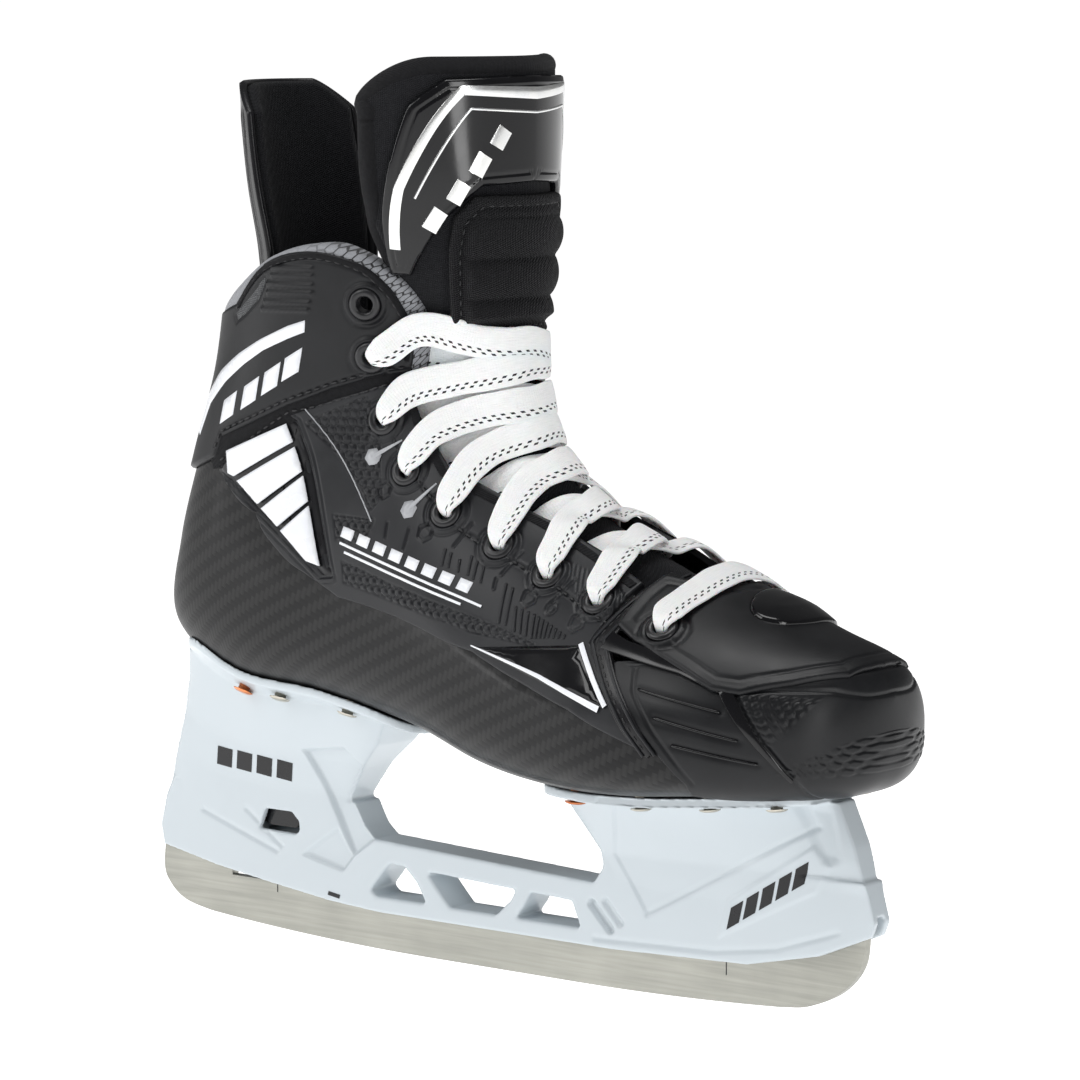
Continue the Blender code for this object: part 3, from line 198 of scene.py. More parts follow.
class Surface:
    """A table of the points and outward normals of a loft, read by interpolation."""

    PER_ROW = 24
    HALF = 512

    def __init__(self, sections, closed_tip=False, fall=None):
        rows = np.array(sections)
        self.last = len(rows) - 1
        before = rows[1].copy() if closed_tip else 2 * rows[0] - rows[1]
        if closed_tip:
            before[4] = -before[4]
        self.rows = np.vstack([before, rows, 2 * rows[-1] - rows[-2]])
        table = self.station(np.linspace(0, self.last, self.last * self.PER_ROW + 1))
        self.lengths = np.zeros(len(table))
        shares = np.linspace(0, 1, self.HALF + 1)
        points = np.zeros((len(table), 2 * self.HALF + 1, 3))
        for k, row in enumerate(table):
            t, width, self.lengths[k] = self.ring(row, shares)
            x, z = row[0] + (row[2] - row[0]) * t, row[1] + (row[3] - row[1]) * t
            points[k, self.HALF:] = np.stack([x, row[8] + width, z], axis=1)
            points[k, :self.HALF + 1] = np.stack([x, row[8] - width, z], axis=1)[::-1]
        if fall:
            points[..., 2] -= fall(*np.moveaxis(points, -1, 0))
        self.points = points
        around = np.gradient(points, axis=1)
        around[:, 0] = around[:, -1] = (points[:, 1] - points[:, -2]) / 2
        self.normals = unit(np.cross(np.gradient(points, axis=0), around))
        self.run = travelled(points[:, int(1.3 * self.HALF)])

    def station(self, s):
        """The section numbers at s, with one row of them for each value."""
        i = np.clip(np.floor(s).astype(int), 0, self.last - 1)
        return between(*(self.rows[i + k] for k in range(4)), (s - i)[..., None])

    @staticmethod
    def ring(row, shares):
        """One section: share of the way up and half width at shares of its arc, and the arc's length."""
        t = 0.5 - 0.5 * np.cos(np.pi * np.linspace(0, 1, 97))
        widest, far, near = row[5:8]
        low = np.maximum(0, 1 - np.clip((widest - t) / widest, 0, 1) ** far) ** (1 / far)
        high = np.maximum(0, 1 - np.clip((t - widest) / (1 - widest), 0, 1) ** near) ** (1 / near)
        width = row[4] * np.where(t < widest, low, high)
        span = math.hypot(row[2] - row[0], row[3] - row[1])
        length = np.concatenate([[0], np.cumsum(np.hypot(np.diff(t) * span, np.diff(width)))])
        t_at = np.interp(shares * length[-1], length, t)
        return t_at, np.interp(shares * length[-1], length, width), length[-1]

    def read(self, table, s, v):
        v = (np.asarray(v, float) + 1) % 2 - 1
        fs = np.clip(np.asarray(s, float) * self.PER_ROW, 0, len(self.points) - 1.001)
        fv = np.clip((v + 1) * self.HALF, 0, 2 * self.HALF - 0.001)
        i, j = fs.astype(int), fv.astype(int)
        a, b = (fs - i)[..., None], (fv - j)[..., None]
        return ((table[i, j] * (1 - a) + table[i + 1, j] * a) * (1 - b)
                + (table[i, j + 1] * (1 - a) + table[i + 1, j + 1] * a) * b)

    def at(self, s, v, out=0.0):
        return self.read(self.points, s, v) + self.normal(s, v) * np.asarray(out, float)[..., None]

    def normal(self, s, v):
        return unit(self.read(self.normals, s, v))

    def half_length(self, s):
        return np.interp(np.asarray(s, float) * self.PER_ROW, np.arange(len(self.lengths)), self.lengths)

    def cloth_uv(self, s, v):
        """Millimetres along and round the surface."""
        along = np.interp(np.asarray(s, float) * self.PER_ROW, np.arange(len(self.run)), self.run)
        return np.stack([along, v * self.half_length(s)], axis=-1)

    def from_side(self, x, z, side):
        """(s, v) of the point seen at side coordinates x, z, read on the lateral half."""
        half = self.points[:, self.HALF::-1]
        cell = np.argmin(np.hypot(half[..., 0] - x, half[..., 2] - z))
        i, j = np.unravel_index(cell, half.shape[:2])
        s, v = i / self.PER_ROW, j / self.HALF
        step = 0.01
        for _ in range(12):
            p = self.at(s, -v)
            ds = (self.at(min(s + step, self.last), -v) - self.at(max(s - step, 0), -v)) / (2 * step)
            dv = (self.at(s, -min(v + step, 1)) - self.at(s, -max(v - step, 0))) / (2 * step)
            matrix = np.array([[ds[0], dv[0]], [ds[2], dv[2]]])
            if abs(np.linalg.det(matrix)) < 1e-6:
                break
            change = np.linalg.solve(matrix, [x - p[0], z - p[2]])
            limit = max(1.0, np.abs(change / (0.5, 0.05)).max())
            s = float(np.clip(s + change[0] / limit, 0, self.last - 0.001))
            v = float(np.clip(v + change[1] / limit, 0.002, 0.998))
        return s, side * v


TOE_FALL = 6.5


def toe_fall(x, y, z):
    """How much lower the medial shoulder of the toe lies than the lateral one."""
    along = ramp(x, 50.0, 88.0) * (1 - ramp(x, 124.0, 144.0))
    return TOE_FALL * along * ramp(y, 2.0, 27.0) * ramp(z, 84.0, 108.0)


boot = Surface(BOOT_SECTIONS, True, toe_fall)
tongue = Surface(TONGUE_SECTIONS)
guard = Surface(GUARD_SECTIONS)


def boot_side(points, side):
    return [boot.from_side(x, z, side) for x, z in points]


def dense(points, pitch=4.0):
    """Rows with more put between them, so that a line straight from the side stays straight."""
    rows = [np.array(p, float) for p in points]
    out = [rows[0]]
    for a, b in zip(rows, rows[1:]):
        count = max(1, math.ceil(math.dist(a[:2], b[:2]) / pitch))
        out += [a + (b - a) * k / count for k in range(1, count + 1)]
    return np.array(out)


def side_patch(corners, side):
    """The (s, v) outline of a straight-sided patch seen from the side."""
    return boot_side(dense([*corners, corners[0]])[:-1], side)


def tongue_front(points):
    """(s, v) of places on the tongue given by (arc distance from its middle, height).

    The distance is negative on the lateral side.
    """
    heights = [row[3] for row in TONGUE_SECTIONS]
    out = []
    for w, z in points:
        s = float(np.interp(z, heights, range(len(heights))))
        out.append((s, 1 - w / float(tongue.half_length(s))))
    return out


# ==============================================================================================
# Pattern helpers: all lengths in millimetres, all arrays
# ==============================================================================================
def segment_distance(x, z, a, b):
    ax, az, bx, bz = *a, *b
    dx, dz = bx - ax, bz - az
    t = np.clip(((x - ax) * dx + (z - az) * dz) / max(dx * dx + dz * dz, 1e-9), 0, 1)
    return np.hypot(x - ax - t * dx, z - az - t * dz)


def line_distance(x, z, points, closed=False):
    pairs = list(zip(points, points[1:] + (points[:1] if closed else [])))
    return np.min([segment_distance(x, z, a, b) for a, b in pairs], axis=0)


def within(x, z, polygon):
    odd = np.zeros(np.shape(x), bool)
    for (x0, z0), (x1, z1) in zip(polygon, polygon[1:] + polygon[:1]):
        crosses = (z0 > z) != (z1 > z)
        odd ^= crosses & (x < x0 + (z - z0) * (x1 - x0) / ((z1 - z0) or 1e-9))
    return odd


def region(x, z, polygon, soft=0.6):
    """1 inside the polygon, 0 outside, with a soft edge."""
    signed = line_distance(x, z, polygon, True) * np.where(within(x, z, polygon), 1, -1)
    return ramp(signed, -soft / 2, soft / 2)


def hexagons(x, z, size):
    """Distance to the nearest border of a honeycomb whose cells are size across flats."""
    step_z = size * math.sqrt(3)

    def nearest(offset_x, offset_z):
        dx = x - offset_x - size * np.round((x - offset_x) / size)
        dz = z - offset_z - step_z * np.round((z - offset_z) / step_z)
        return np.abs(dx), np.abs(dz)

    best = None
    for shift in ((0, 0), (size / 2, step_z / 2)):
        dx, dz = nearest(*shift)
        reach = np.maximum(dx, dx / 2 + dz * math.sqrt(3) / 2)
        best = reach if best is None else np.minimum(best, reach)
    return size / 2 - best


def hexagon_points(x, z, radius, turn=30):
    angles = [math.radians(turn + 60 * k) for k in range(6)]
    return [(x + radius * math.cos(a), z + radius * math.sin(a)) for a in angles]


def groove(distance, width):
    return np.exp(-(distance / width) ** 2)


# ==============================================================================================
# Mesh building
# ==============================================================================================
def add_object(name, data, body=ROOT):
    """An object in the scene, which rides a body if there is one."""
    item = bpy.data.objects.new(name, data)
    bpy.context.scene.collection.objects.link(item)
    if body:
        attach(item, body)
    return item


def cleaned(mesh):
    """Merge doubled vertices and turn every face outward."""
    bm = bmesh.new()
    bm.from_mesh(mesh)
    bmesh.ops.remove_doubles(bm, verts=bm.verts, dist=MERGE)
    bmesh.ops.recalc_face_normals(bm, faces=bm.faces)
    bm.to_mesh(mesh)
    bm.free()


def grid_faces(index):
    """The quads between rows and columns of vertex numbers."""
    return np.stack([index[:-1, :-1], index[1:, :-1], index[1:, 1:], index[:-1, 1:]], axis=-1).reshape(-1, 4)


def tube_faces(rings, sides):
    """The quads between rings of vertices."""
    index = np.arange(rings * sides).reshape(rings, sides)
    after = np.roll(index, -1, axis=1)
    return np.stack([index[:-1], after[:-1], after[1:], index[1:]], axis=-1).reshape(-1, 4).tolist()


def add_mesh(name, points, faces, finish, body=ROOT, uv=None):
    mesh = bpy.data.meshes.new(name)
    mesh.from_pydata((np.asarray(points) * MM).tolist(), [], [list(f) for f in faces])
    if uv is not None:
        layer = mesh.uv_layers.new(name="UVMap")
        corner = np.zeros(len(mesh.loops), int)
        mesh.loops.foreach_get("vertex_index", corner)
        layer.data.foreach_set("uv", np.asarray(uv, float)[corner].ravel())
    mesh.materials.append(finish)
    mesh.shade_smooth()
    return add_object(name, mesh, body)


def add_grid(name, points, finish, body=ROOT, uv=None):
    """A quad mesh from an array of points (rows, columns, 3); one with a uv is closed across its columns."""
    rows, columns = points.shape[:2]
    index = np.arange(rows * columns).reshape(rows, columns)
    if uv is not None:
        index = np.hstack([index, index[:, :1]])
        uv = uv.reshape(-1, 2)
    return add_mesh(name, points.reshape(-1, 3), grid_faces(index), finish, body, uv)


def refined(loop, pitch):
    out = []
    for (x0, y0), (x1, y1) in zip(loop, loop[1:] + loop[:1]):
        count = max(1, round(math.hypot(x1 - x0, y1 - y0) / pitch))
        out += [(x0 + (x1 - x0) * k / count, y0 + (y1 - y0) * k / count) for k in range(count)]
    return out


# millimetres that one step of s and of v stand for where a panel is cut into triangles
PER_S, PER_V = 16.0, 120.0


def inside(places, loops):
    """Which places lie in the first loop and in none of the others."""
    keep = within(*places.T, loops[0])
    for hole in loops[1:]:
        keep &= ~within(*places.T, hole)
    return keep


def tessellate(outline, holes, pitch, rounds):
    """Triangles inside an (s, v) outline: vertices and faces."""
    flat = refined([(s * PER_S, v * PER_V) for s, v in outline], pitch)
    loops = [flat] + [[(s * PER_S, v * PER_V) for s, v in hole] for hole in holes]
    points, edges = [], []
    for loop in loops:
        first = len(points)
        points += loop
        edges += [(first + k, first + (k + 1) % len(loop)) for k in range(len(loop))]
    rim = np.array(points)
    low, high = rim.min(axis=0), rim.max(axis=0)
    i, j = np.meshgrid(np.arange(1, (high[0] - low[0]) / pitch), np.arange(1, (high[1] - low[1]) / pitch),
                       indexing="ij")
    inner = np.stack([low[0] + i * pitch, low[1] + (j + 0.5 * (i % 2)) * pitch], axis=-1).reshape(-1, 2)
    inner = inner[inside(inner, loops)]
    near = np.min(np.linalg.norm(inner[:, None] - rim[None], axis=2), axis=1)
    points += [tuple(p) for p in inner[near > 0.55 * pitch]]
    verts, _, faces, *_ = delaunay_2d_cdt([Vector(p) for p in points], edges, [], 0, MERGE)
    verts = np.array([tuple(p) for p in verts])
    faces = np.array([f for f in faces if len(f) == 3])
    faces = faces[inside(verts[faces].mean(axis=1), loops)]
    for _ in range(rounds):
        verts, faces = split(verts, faces)
    return verts / (PER_S, PER_V), faces


def split(verts, faces):
    """Each triangle into four."""
    edges = np.sort(np.concatenate([faces[:, [0, 1]], faces[:, [1, 2]], faces[:, [2, 0]]]), axis=1)
    unique, back = np.unique(edges, axis=0, return_inverse=True)
    middle = len(verts) + back.reshape(3, -1)
    verts = np.vstack([verts, verts[unique].mean(axis=1)])
    a, b, c = faces.T
    ab, bc, ca = middle
    quarters = ((a, ab, ca), (ab, b, bc), (ca, bc, c), (ab, bc, ca))
    return verts, np.concatenate([np.stack(quarter, axis=1) for quarter in quarters])


def border_edges(faces):
    """Directed edges with a face on one side only."""
    edges = np.concatenate([faces[:, [0, 1]], faces[:, [1, 2]], faces[:, [2, 0]]])
    _, back, count = np.unique(np.sort(edges, axis=1), axis=0, return_inverse=True, return_counts=True)
    return edges[count[back.ravel()] == 1]


PANEL_PITCH = 4.0


class Spots:
    """Where the vertices of a panel lie: s, v, base position, and distance to its border."""

    def __init__(self, surface, sv, rim):
        self.s, self.v = sv.T
        base = surface.at(self.s, self.v)
        self.x, self.y, self.z = base.T
        tree = KDTree(len(rim))
        for k, p in enumerate(rim):
            tree.insert(Vector(p), k)
        tree.balance()
        self.d = np.array([tree.find(Vector(p))[2] for p in base])


def panel(name, surface, outline, layer, finish, body=ROOT, holes=(), relief=None, rounding=0.7, rounds=3):
    """A raised patch with a rounded edge; relief(spots) gives extra height."""
    sv, faces = tessellate(outline, holes, PANEL_PITCH, rounds)
    borders = border_edges(faces)
    used = np.unique(borders)
    spots = Spots(surface, sv, surface.at(*sv[used].T))
    inward = np.clip(1 - spots.d / rounding, 0, 1)
    height = layer[1] + (relief(spots) if relief else 0) - rounding * (1 - np.sqrt(1 - inward ** 2))
    top = surface.at(spots.s, spots.v, height)
    place = {k: len(sv) + n for n, k in enumerate(used)}
    points = np.vstack([top, surface.at(*sv[used].T, layer[0])])
    skirt = [(a, place[a], place[b], b) for a, b in borders]
    a, b, c = (top[faces[0, k]] for k in range(3))
    outward = np.dot(np.cross(b - a, c - a), surface.normal(*sv[faces[0, 0]]))
    everything = [list(f) for f in faces] + [list(f) for f in skirt]
    if outward < 0:
        everything = [f[::-1] for f in everything]
    uv = surface.cloth_uv(spots.s, spots.v)
    uv = np.vstack([uv, uv[used]])
    return add_mesh(name, points, everything, finish, body, uv)


RIM_BULGE = 0.28  # how far a wall's rim swells, as a share of its thickness


def wall(name, surface, rows, edges, across, layer, finish, body=ROOT, relief=None, slide=None, tip=False):
    """A four-sided patch with both faces and a rounded rim; a tip is a first row closed on itself."""
    s = np.repeat(np.asarray(rows)[:, None], across + 1, axis=1)
    v = np.stack([np.linspace(*edges(r), across + 1) for r in rows])
    if slide:
        s = slide(s, v)
    inner, outer = layer
    top = surface.at(s, v, outer + (relief(s, v) if relief else 0))
    low = surface.at(s, v, inner)
    if tip:
        top[0, :, 1] = low[0, :, 1] = surface.at(s[0], v[0])[:, 1]
    rows_n, columns = s.shape
    index = np.arange(rows_n * columns).reshape(rows_n, columns)
    count = index.size
    quads = grid_faces(index)
    flanks = [index[1:, -1], index[-1, -2::-1], index[-2:0:-1, 0]]
    first, last = (index[0, -1:], index[0, :1]) if tip else (index[0], [])
    rim = np.concatenate([first, *flanks, last]).astype(int)
    belly = surface.at(s, v, (inner + outer) / 2).reshape(-1, 3)[rim]
    along = np.roll(belly, 1, axis=0) - np.roll(belly, -1, axis=0)
    push = unit(np.cross(along, surface.normal(s, v).reshape(-1, 3)[rim]))
    if np.sum(push * (belly - belly.mean(axis=0))) < 0:
        push = -push
    belly = belly + push * (outer - inner) * RIM_BULGE
    after = np.roll(rim, -1)
    k = np.arange(len(rim))
    k2 = np.roll(k, -1)
    ring_a = np.stack([rim, 2 * count + k, 2 * count + k2, after], axis=1)
    ring_b = np.stack([2 * count + k, rim + count, after + count, 2 * count + k2], axis=1)
    if tip:
        ring_a, ring_b = ring_a[:-1], ring_b[:-1]
    faces = np.concatenate([quads, quads[:, ::-1] + count, ring_a, ring_b])
    points = np.concatenate([top.reshape(-1, 3), low.reshape(-1, 3), belly])
    uv = surface.cloth_uv(s, v).reshape(-1, 2)
    uv = np.concatenate([uv, uv, uv[rim]])
    item = add_mesh(name, points, faces, finish, body, uv)
    cleaned(item.data)
    return item


def solid_tube(points, radius, sides=10):
    """Points (n, 3) to a round tube: vertices and faces."""
    ahead = unit(np.gradient(points, axis=0))
    up = np.zeros_like(points)
    guess = np.array([0.0, 0.0, 1.0]) if abs(ahead[0][2]) < 0.9 else np.array([0.0, 1.0, 0.0])
    for k, t in enumerate(ahead):
        guess = guess - t * guess.dot(t)
        guess /= np.linalg.norm(guess)
        up[k] = guess
    side = np.cross(ahead, up)
    angles = circle(sides)[:, None]
    radius = np.broadcast_to(radius, len(points))[:, None, None]
    rings = points[:, None] + (side[:, None] * np.cos(angles) + up[:, None] * np.sin(angles)) * radius
    end = (len(points) - 1) * sides
    caps = [tuple(range(sides))[::-1], tuple(range(end, end + sides))]
    return rings.reshape(-1, 3), tube_faces(len(points), sides) + caps


def joined(parts):
    """Several (vertices, faces) as one."""
    verts, faces, first = [], [], 0
    for v, f in parts:
        verts.append(v)
        faces += [tuple(int(k) + first for k in face) for face in f]
        first += len(v)
    return np.vstack(verts), faces


def surface_line(surface, sv, out):
    """Dense (s, v) line laid on a surface."""
    line = even_line([(s * PER_S, v * PER_V) for s, v in sv], 0.8) / (PER_S, PER_V)
    return surface.at(*line.T, out)


def side_line(points, side, out):
    """Side points joined by a line laid on the boot."""
    return surface_line(boot, boot_side(points, side), out)


STITCH_LENGTH, STITCH_GAP, STITCH_RADIUS, STITCH_STEP = 2.2, 1.1, 0.32, 0.25


def stitches(name, lines, slot="black_rubber", body=ROOT):
    """Short tapered threads along 3D lines."""
    parts = []
    run, period = round(STITCH_LENGTH / STITCH_STEP), round((STITCH_LENGTH + STITCH_GAP) / STITCH_STEP)
    for line in lines:
        line = even_line(line, STITCH_STEP)
        for k in range(0, len(line) - run, period):
            piece = line[k:k + run + 1:2]
            taper = STITCH_RADIUS * np.sqrt(np.clip(1 - np.linspace(-1, 1, len(piece)) ** 4, 0.15, 1))
            parts.append(solid_tube(piece, taper, 6))
    return part(add_mesh(name, *joined(parts), THREAD, body), slot)


def turned(profile, sides, place):
    """Revolve an (r, h) profile about Z and set it in place by a matrix."""
    profile = np.array(profile, float)
    angles = circle(sides)
    rings = np.stack([profile[:, None, 0] * np.cos(angles), profile[:, None, 0] * np.sin(angles),
                      np.repeat(profile[:, 1:], sides, axis=1)], axis=-1).reshape(-1, 3)
    matrix = np.array(place)
    return rings @ matrix[:3, :3].T + matrix[:3, 3], tube_faces(len(profile), sides)


def frame_at(origin, normal, along):
    """A placement with Z along the normal and X as near to along as it can be."""
    normal, along = Vector(normal), Vector(along)
    x = (along - normal * along.dot(normal)).normalized()
    y = normal.cross(x)
    return Matrix(((x.x, y.x, normal.x, origin[0]), (x.y, y.y, normal.y, origin[1]),
                   (x.z, y.z, normal.z, origin[2]), (0, 0, 0, 1)))


# ==============================================================================================
# Materials
# ==============================================================================================
class Signal:
    """A shader value; reckoning with it adds Math nodes to its material."""

    def __init__(self, finish, socket):
        self.finish, self.socket = finish, socket

    def __add__(self, other):
        return self.finish.math("ADD", self, other)

    def __sub__(self, other):
        return self.finish.math("SUBTRACT", self, other)

    def __mul__(self, other):
        return self.finish.math("MULTIPLY", self, other)

    def less(self, other):
        return self.finish.math("LESS_THAN", self, other)

    def max(self, other):
        return self.finish.math("MAXIMUM", self, other)

    def min(self, other):
        return self.finish.math("MINIMUM", self, other)

    def floor(self):
        return self.finish.math("FLOOR", self)

    def abs(self):
        return self.finish.math("ABSOLUTE", self)

    def wave(self, factor):
        return self.finish.math("SINE", self * factor)

    def ramp(self, low, high, to_low=0.0, to_high=1.0):
        node = self.finish.add("MapRange")
        keys = ("Value", "From Min", "From Max", "To Min", "To Max")
        for key, x in zip(keys, (self, low, high, to_low, to_high)):
            self.finish.set(node, key, x)
        return Signal(self.finish, node.outputs[0])

    def mix(self, first, second):
        """Colour that goes from the first to the second as this goes from 0 to 1."""
        node = self.finish.add("Mix")
        node.data_type = "RGBA"
        for slot, value in ((0, self), (6, first), (7, second)):
            self.finish.set(node, slot, (*value, 1.0) if isinstance(value, tuple) else value)
        return Signal(self.finish, node.outputs[2])


class Finish:
    """A Principled material built node by node."""

    def __init__(self, name, colour, roughness, metallic=0.0, **sockets):
        self.material = bpy.data.materials.new(name)
        self.material.use_nodes = True
        self.tree = self.material.node_tree
        self.shader = self.tree.nodes["Principled BSDF"]
        self.set(self.shader, "Base Color", (*colour, 1.0))
        self.set(self.shader, "Roughness", roughness)
        self.set(self.shader, "Metallic", metallic)
        for key, value in sockets.items():
            self.set(self.shader, key.replace("_", " "), value)
        self.coordinates = self.add("TexCoord")
        self.bump = None

    def add(self, kind):
        return self.tree.nodes.new("ShaderNode" + kind)

    def set(self, node, socket, value):
        """Put a constant, a socket or a signal into a socket."""
        target = node.inputs[socket]
        if isinstance(value, Signal):
            value = value.socket
        if isinstance(value, bpy.types.NodeSocket):
            self.tree.links.new(value, target)
        else:
            target.default_value = value

    def colour(self, value):
        self.set(self.shader, "Base Color", value)

    def math(self, operation, a, b=0.0):
        node = self.add("Math")
        node.operation = operation
        self.set(node, 0, a)
        self.set(node, 1, b)
        return Signal(self, node.outputs[0])

    def split(self, output="UV"):
        """The three coordinates as signals."""
        node = self.add("SeparateXYZ")
        self.set(node, 0, self.coordinates.outputs[output])
        return [Signal(self, socket) for socket in node.outputs]

    def noise(self, scale, detail=3.0, stretch=(1, 1, 1), output="Object"):
        mapping, node = self.add("Mapping"), self.add("TexNoise")
        self.set(mapping, "Vector", self.coordinates.outputs[output])
        self.set(mapping, "Scale", stretch)
        self.set(node, "Vector", mapping.outputs[0])
        self.set(node, "Scale", scale)
        self.set(node, "Detail", detail)
        return Signal(self, node.outputs["Fac"])

    def add_bump(self, height, distance):
        """Roughen the surface; distance is in millimetres."""
        node = self.add("Bump")
        self.set(node, "Height", height)
        self.set(node, "Distance", distance * MM)
        self.set(node, "Strength", 1.0)
        if self.bump is not None:
            self.set(node, "Normal", self.bump)
        self.bump = node.outputs[0]
        self.set(self.shader, "Normal", self.bump)


def moulded(name, colour, other, rough, grain=0.03, scale=2200.0, **sockets):
    """Plastic or rubber whose colour and roughness drift between two values, with a fine grain."""
    finish = Finish(name, colour, rough[0], **sockets)
    patches = finish.noise(90.0, 4.0)
    finish.colour(patches.ramp(0.35, 0.65).mix(colour, other))
    finish.set(finish.shader, "Roughness", patches.ramp(0.3, 0.7, *rough))
    finish.add_bump(finish.noise(scale, 2.0), grain)
    return finish.material


def carbon_finish():
    """Clear-coated two-by-two twill, with painted sheen and shade: the warp tows are painted lighter than the
    weft tows, and the tow edges darker.
    """
    finish = Finish("carbon_twill", (0.03, 0.03, 0.033), 0.50, 0.0, Coat_Weight=0.18, Coat_Roughness=0.12,
                    Specular_IOR_Level=0.16)
    u, v, _ = finish.split()
    tow, turn = 1.95, math.radians(-21)
    column = u * (math.cos(turn) / tow) + v * (math.sin(turn) / tow)
    row = u * (-math.sin(turn) / tow) + v * (math.cos(turn) / tow)
    warp = finish.math("FLOORED_MODULO", column.floor() - row.floor(), 4.0).less(2.0)
    weft = finish.math("SUBTRACT", 1.0, warp)
    profile = column.wave(math.pi).abs() * warp + row.wave(math.pi).abs() * weft
    fibres = finish.noise(1.0, 2.0, (9.0, 0.8, 1.0), "UV")
    # painted shade: the colour falls off towards each tow's edges, times fine fibre streaks
    light = profile.ramp(0.0, 1.0, 0.55, 1.0) * fibres.ramp(0.3, 0.7, 0.8, 1.1)
    # painted sheen: warp tows are painted lighter than weft tows of the same fibre
    finish.colour(((warp * 0.85 + 0.12) * light).mix((0.0022, 0.0022, 0.0028), (0.0165, 0.0163, 0.0165)))
    finish.add_bump(profile, 0.03)
    return finish.material


def lace_finish():
    """White flat braid with one pair of black tracer rows near an edge."""
    finish = Finish("lace_braid", (0.9, 0.9, 0.89), 0.9, 0.0, Sheen_Weight=0.4, Sheen_Roughness=0.5,
                    Subsurface_Weight=0.15, Subsurface_Scale=0.001)
    u, v, _ = finish.split()
    pitch, half_row = 3.0, 0.030
    rows = []
    for centre, phase in ((0.70, 0.0), (0.81, 0.5)):
        off = u - centre
        along = finish.math("FRACT", v * (1 / pitch) + (off * 3.0 + (phase + 1.0)))
        rows.append(off.abs().less(half_row) * along.less(0.42))
    fibres = finish.noise(1.0, 4.0, (34.0, 0.25, 1.0), "UV")
    white = fibres.ramp(0.3, 0.7).mix((0.90, 0.91, 0.91), (1.0, 1.0, 1.0))
    finish.colour(rows[0].max(rows[1]).mix(white, (0.012, 0.012, 0.014)))
    finish.add_bump(fibres, 0.30)
    finish.add_bump(v.wave(math.pi / 0.9).abs(), 0.06)
    finish.add_bump(finish.noise(2600.0, 3.0), 0.14)
    return finish.material


def woven_finish(name, colour, other, pitch=0.9, depth=0.14, rough=0.9):
    """Dull cloth with a crossed weave."""
    finish = Finish(name, colour, rough, 0.0, Sheen_Weight=0.04, Sheen_Roughness=0.5, Specular_IOR_Level=0.2)
    x, y, z = finish.split("Object")
    turns = math.tau / (pitch * MM)
    weave = (x + z).wave(turns) * (x - z + y).wave(turns)
    blotch = finish.noise(700.0, 3.0)
    finish.colour((weave + blotch * 2.0).ramp(0.0, 2.0).mix(colour, other))
    finish.add_bump(weave, depth)
    finish.add_bump(blotch, 0.12)
    return finish.material


def steel_finish():
    """Steel brushed along its length."""
    finish = Finish("brushed_steel", (0.62, 0.60, 0.56), 0.3, 1.0)
    lines = finish.noise(900.0, 6.0, (0.035, 1.0, 1.0))
    share = lines * 0.6 + finish.noise(45.0, 5.0) * 0.4
    finish.colour(share.ramp(0.35, 0.65).mix((0.30, 0.30, 0.27), (0.375, 0.372, 0.335)))
    finish.set(finish.shader, "Roughness", share.ramp(0.35, 0.65, 0.40, 0.33))
    finish.add_bump(lines, 0.003)
    return finish.material


def lining_finish():
    """Silver grey cloth with a printed open honeycomb near its front."""
    finish = Finish("collar_lining", (0.32, 0.33, 0.35), 0.5, 0.0, Sheen_Weight=0.2)
    u, v, _ = finish.split()
    size, step, far = 4.2, 4.2 * math.sqrt(3), 1000
    cells = []
    for shift_u, shift_v in ((0.0, 0.0), (size / 2, step / 2)):
        du = finish.math("PINGPONG", u + (far * size + shift_u), size / 2)
        dv = finish.math("PINGPONG", v + (far * step + shift_v), step / 2)
        cells.append(du.max(du * 0.5 + dv * (math.sqrt(3) / 2)))
    front = finish.split("Object")[0].ramp(-0.055, -0.035)
    edge = cells[0].min(cells[1]).ramp(size / 2 - 0.38, size / 2 - 0.22) * front
    weave = finish.noise(2500.0, 2.0)
    finish.colour(edge.mix(weave.mix((0.17, 0.175, 0.19), (0.34, 0.35, 0.375)), (0.015, 0.015, 0.017)))
    finish.add_bump(finish.math("SUBTRACT", 1.0, edge), 0.25)
    finish.add_bump(weave, 0.06)
    return finish.material


# name, the two colours it drifts between, the two roughnesses, grain depth and grain scale
SKIN_RUBBER = moulded("matte_rubber_skin", (0.0100, 0.0105, 0.0125), (0.0150, 0.0157, 0.0180), (0.36, 0.44),
                      0.02, Specular_IOR_Level=0.32)
COLLAR_RUBBER = moulded("collar_rubber", (0.0064, 0.0067, 0.0080), (0.0100, 0.0104, 0.0120), (0.40, 0.48),
                        0.018, Specular_IOR_Level=0.3)
TOE_RUBBER = moulded("toe_rubber", (0.0048, 0.0052, 0.0063), (0.0080, 0.0084, 0.0098), (0.36, 0.44),
                     0.012, 3200.0, Specular_IOR_Level=0.32)
SATIN_BLACK = moulded("satin_black_plastic", (0.007, 0.007, 0.008), (0.010, 0.010, 0.012), (0.24, 0.32),
                      0.012, Specular_IOR_Level=0.35)
GLOSS_BLACK = moulded("gloss_black_plastic", (0.004, 0.004, 0.005), (0.006, 0.006, 0.007), (0.10, 0.16),
                      0.004, 900.0, Specular_IOR_Level=0.4)
EYELET_BLACK = moulded("eyelet_black", (0.008, 0.008, 0.009), (0.012, 0.012, 0.014), (0.28, 0.38), 0.01)
WHITE_FILM = moulded("white_film", (0.86, 0.87, 0.90), (0.80, 0.82, 0.86), (0.22, 0.32), 0.006, 1500.0)
SILVER_INK = moulded("silver_ink", (0.36, 0.37, 0.39), (0.44, 0.45, 0.47), (0.30, 0.40), 0.006, 1800.0)
SILVER_FOIL = moulded("silver_foil", (0.86, 0.86, 0.84), (0.76, 0.77, 0.78), (0.14, 0.24),
                      0.02, 300.0, metallic=0.85)
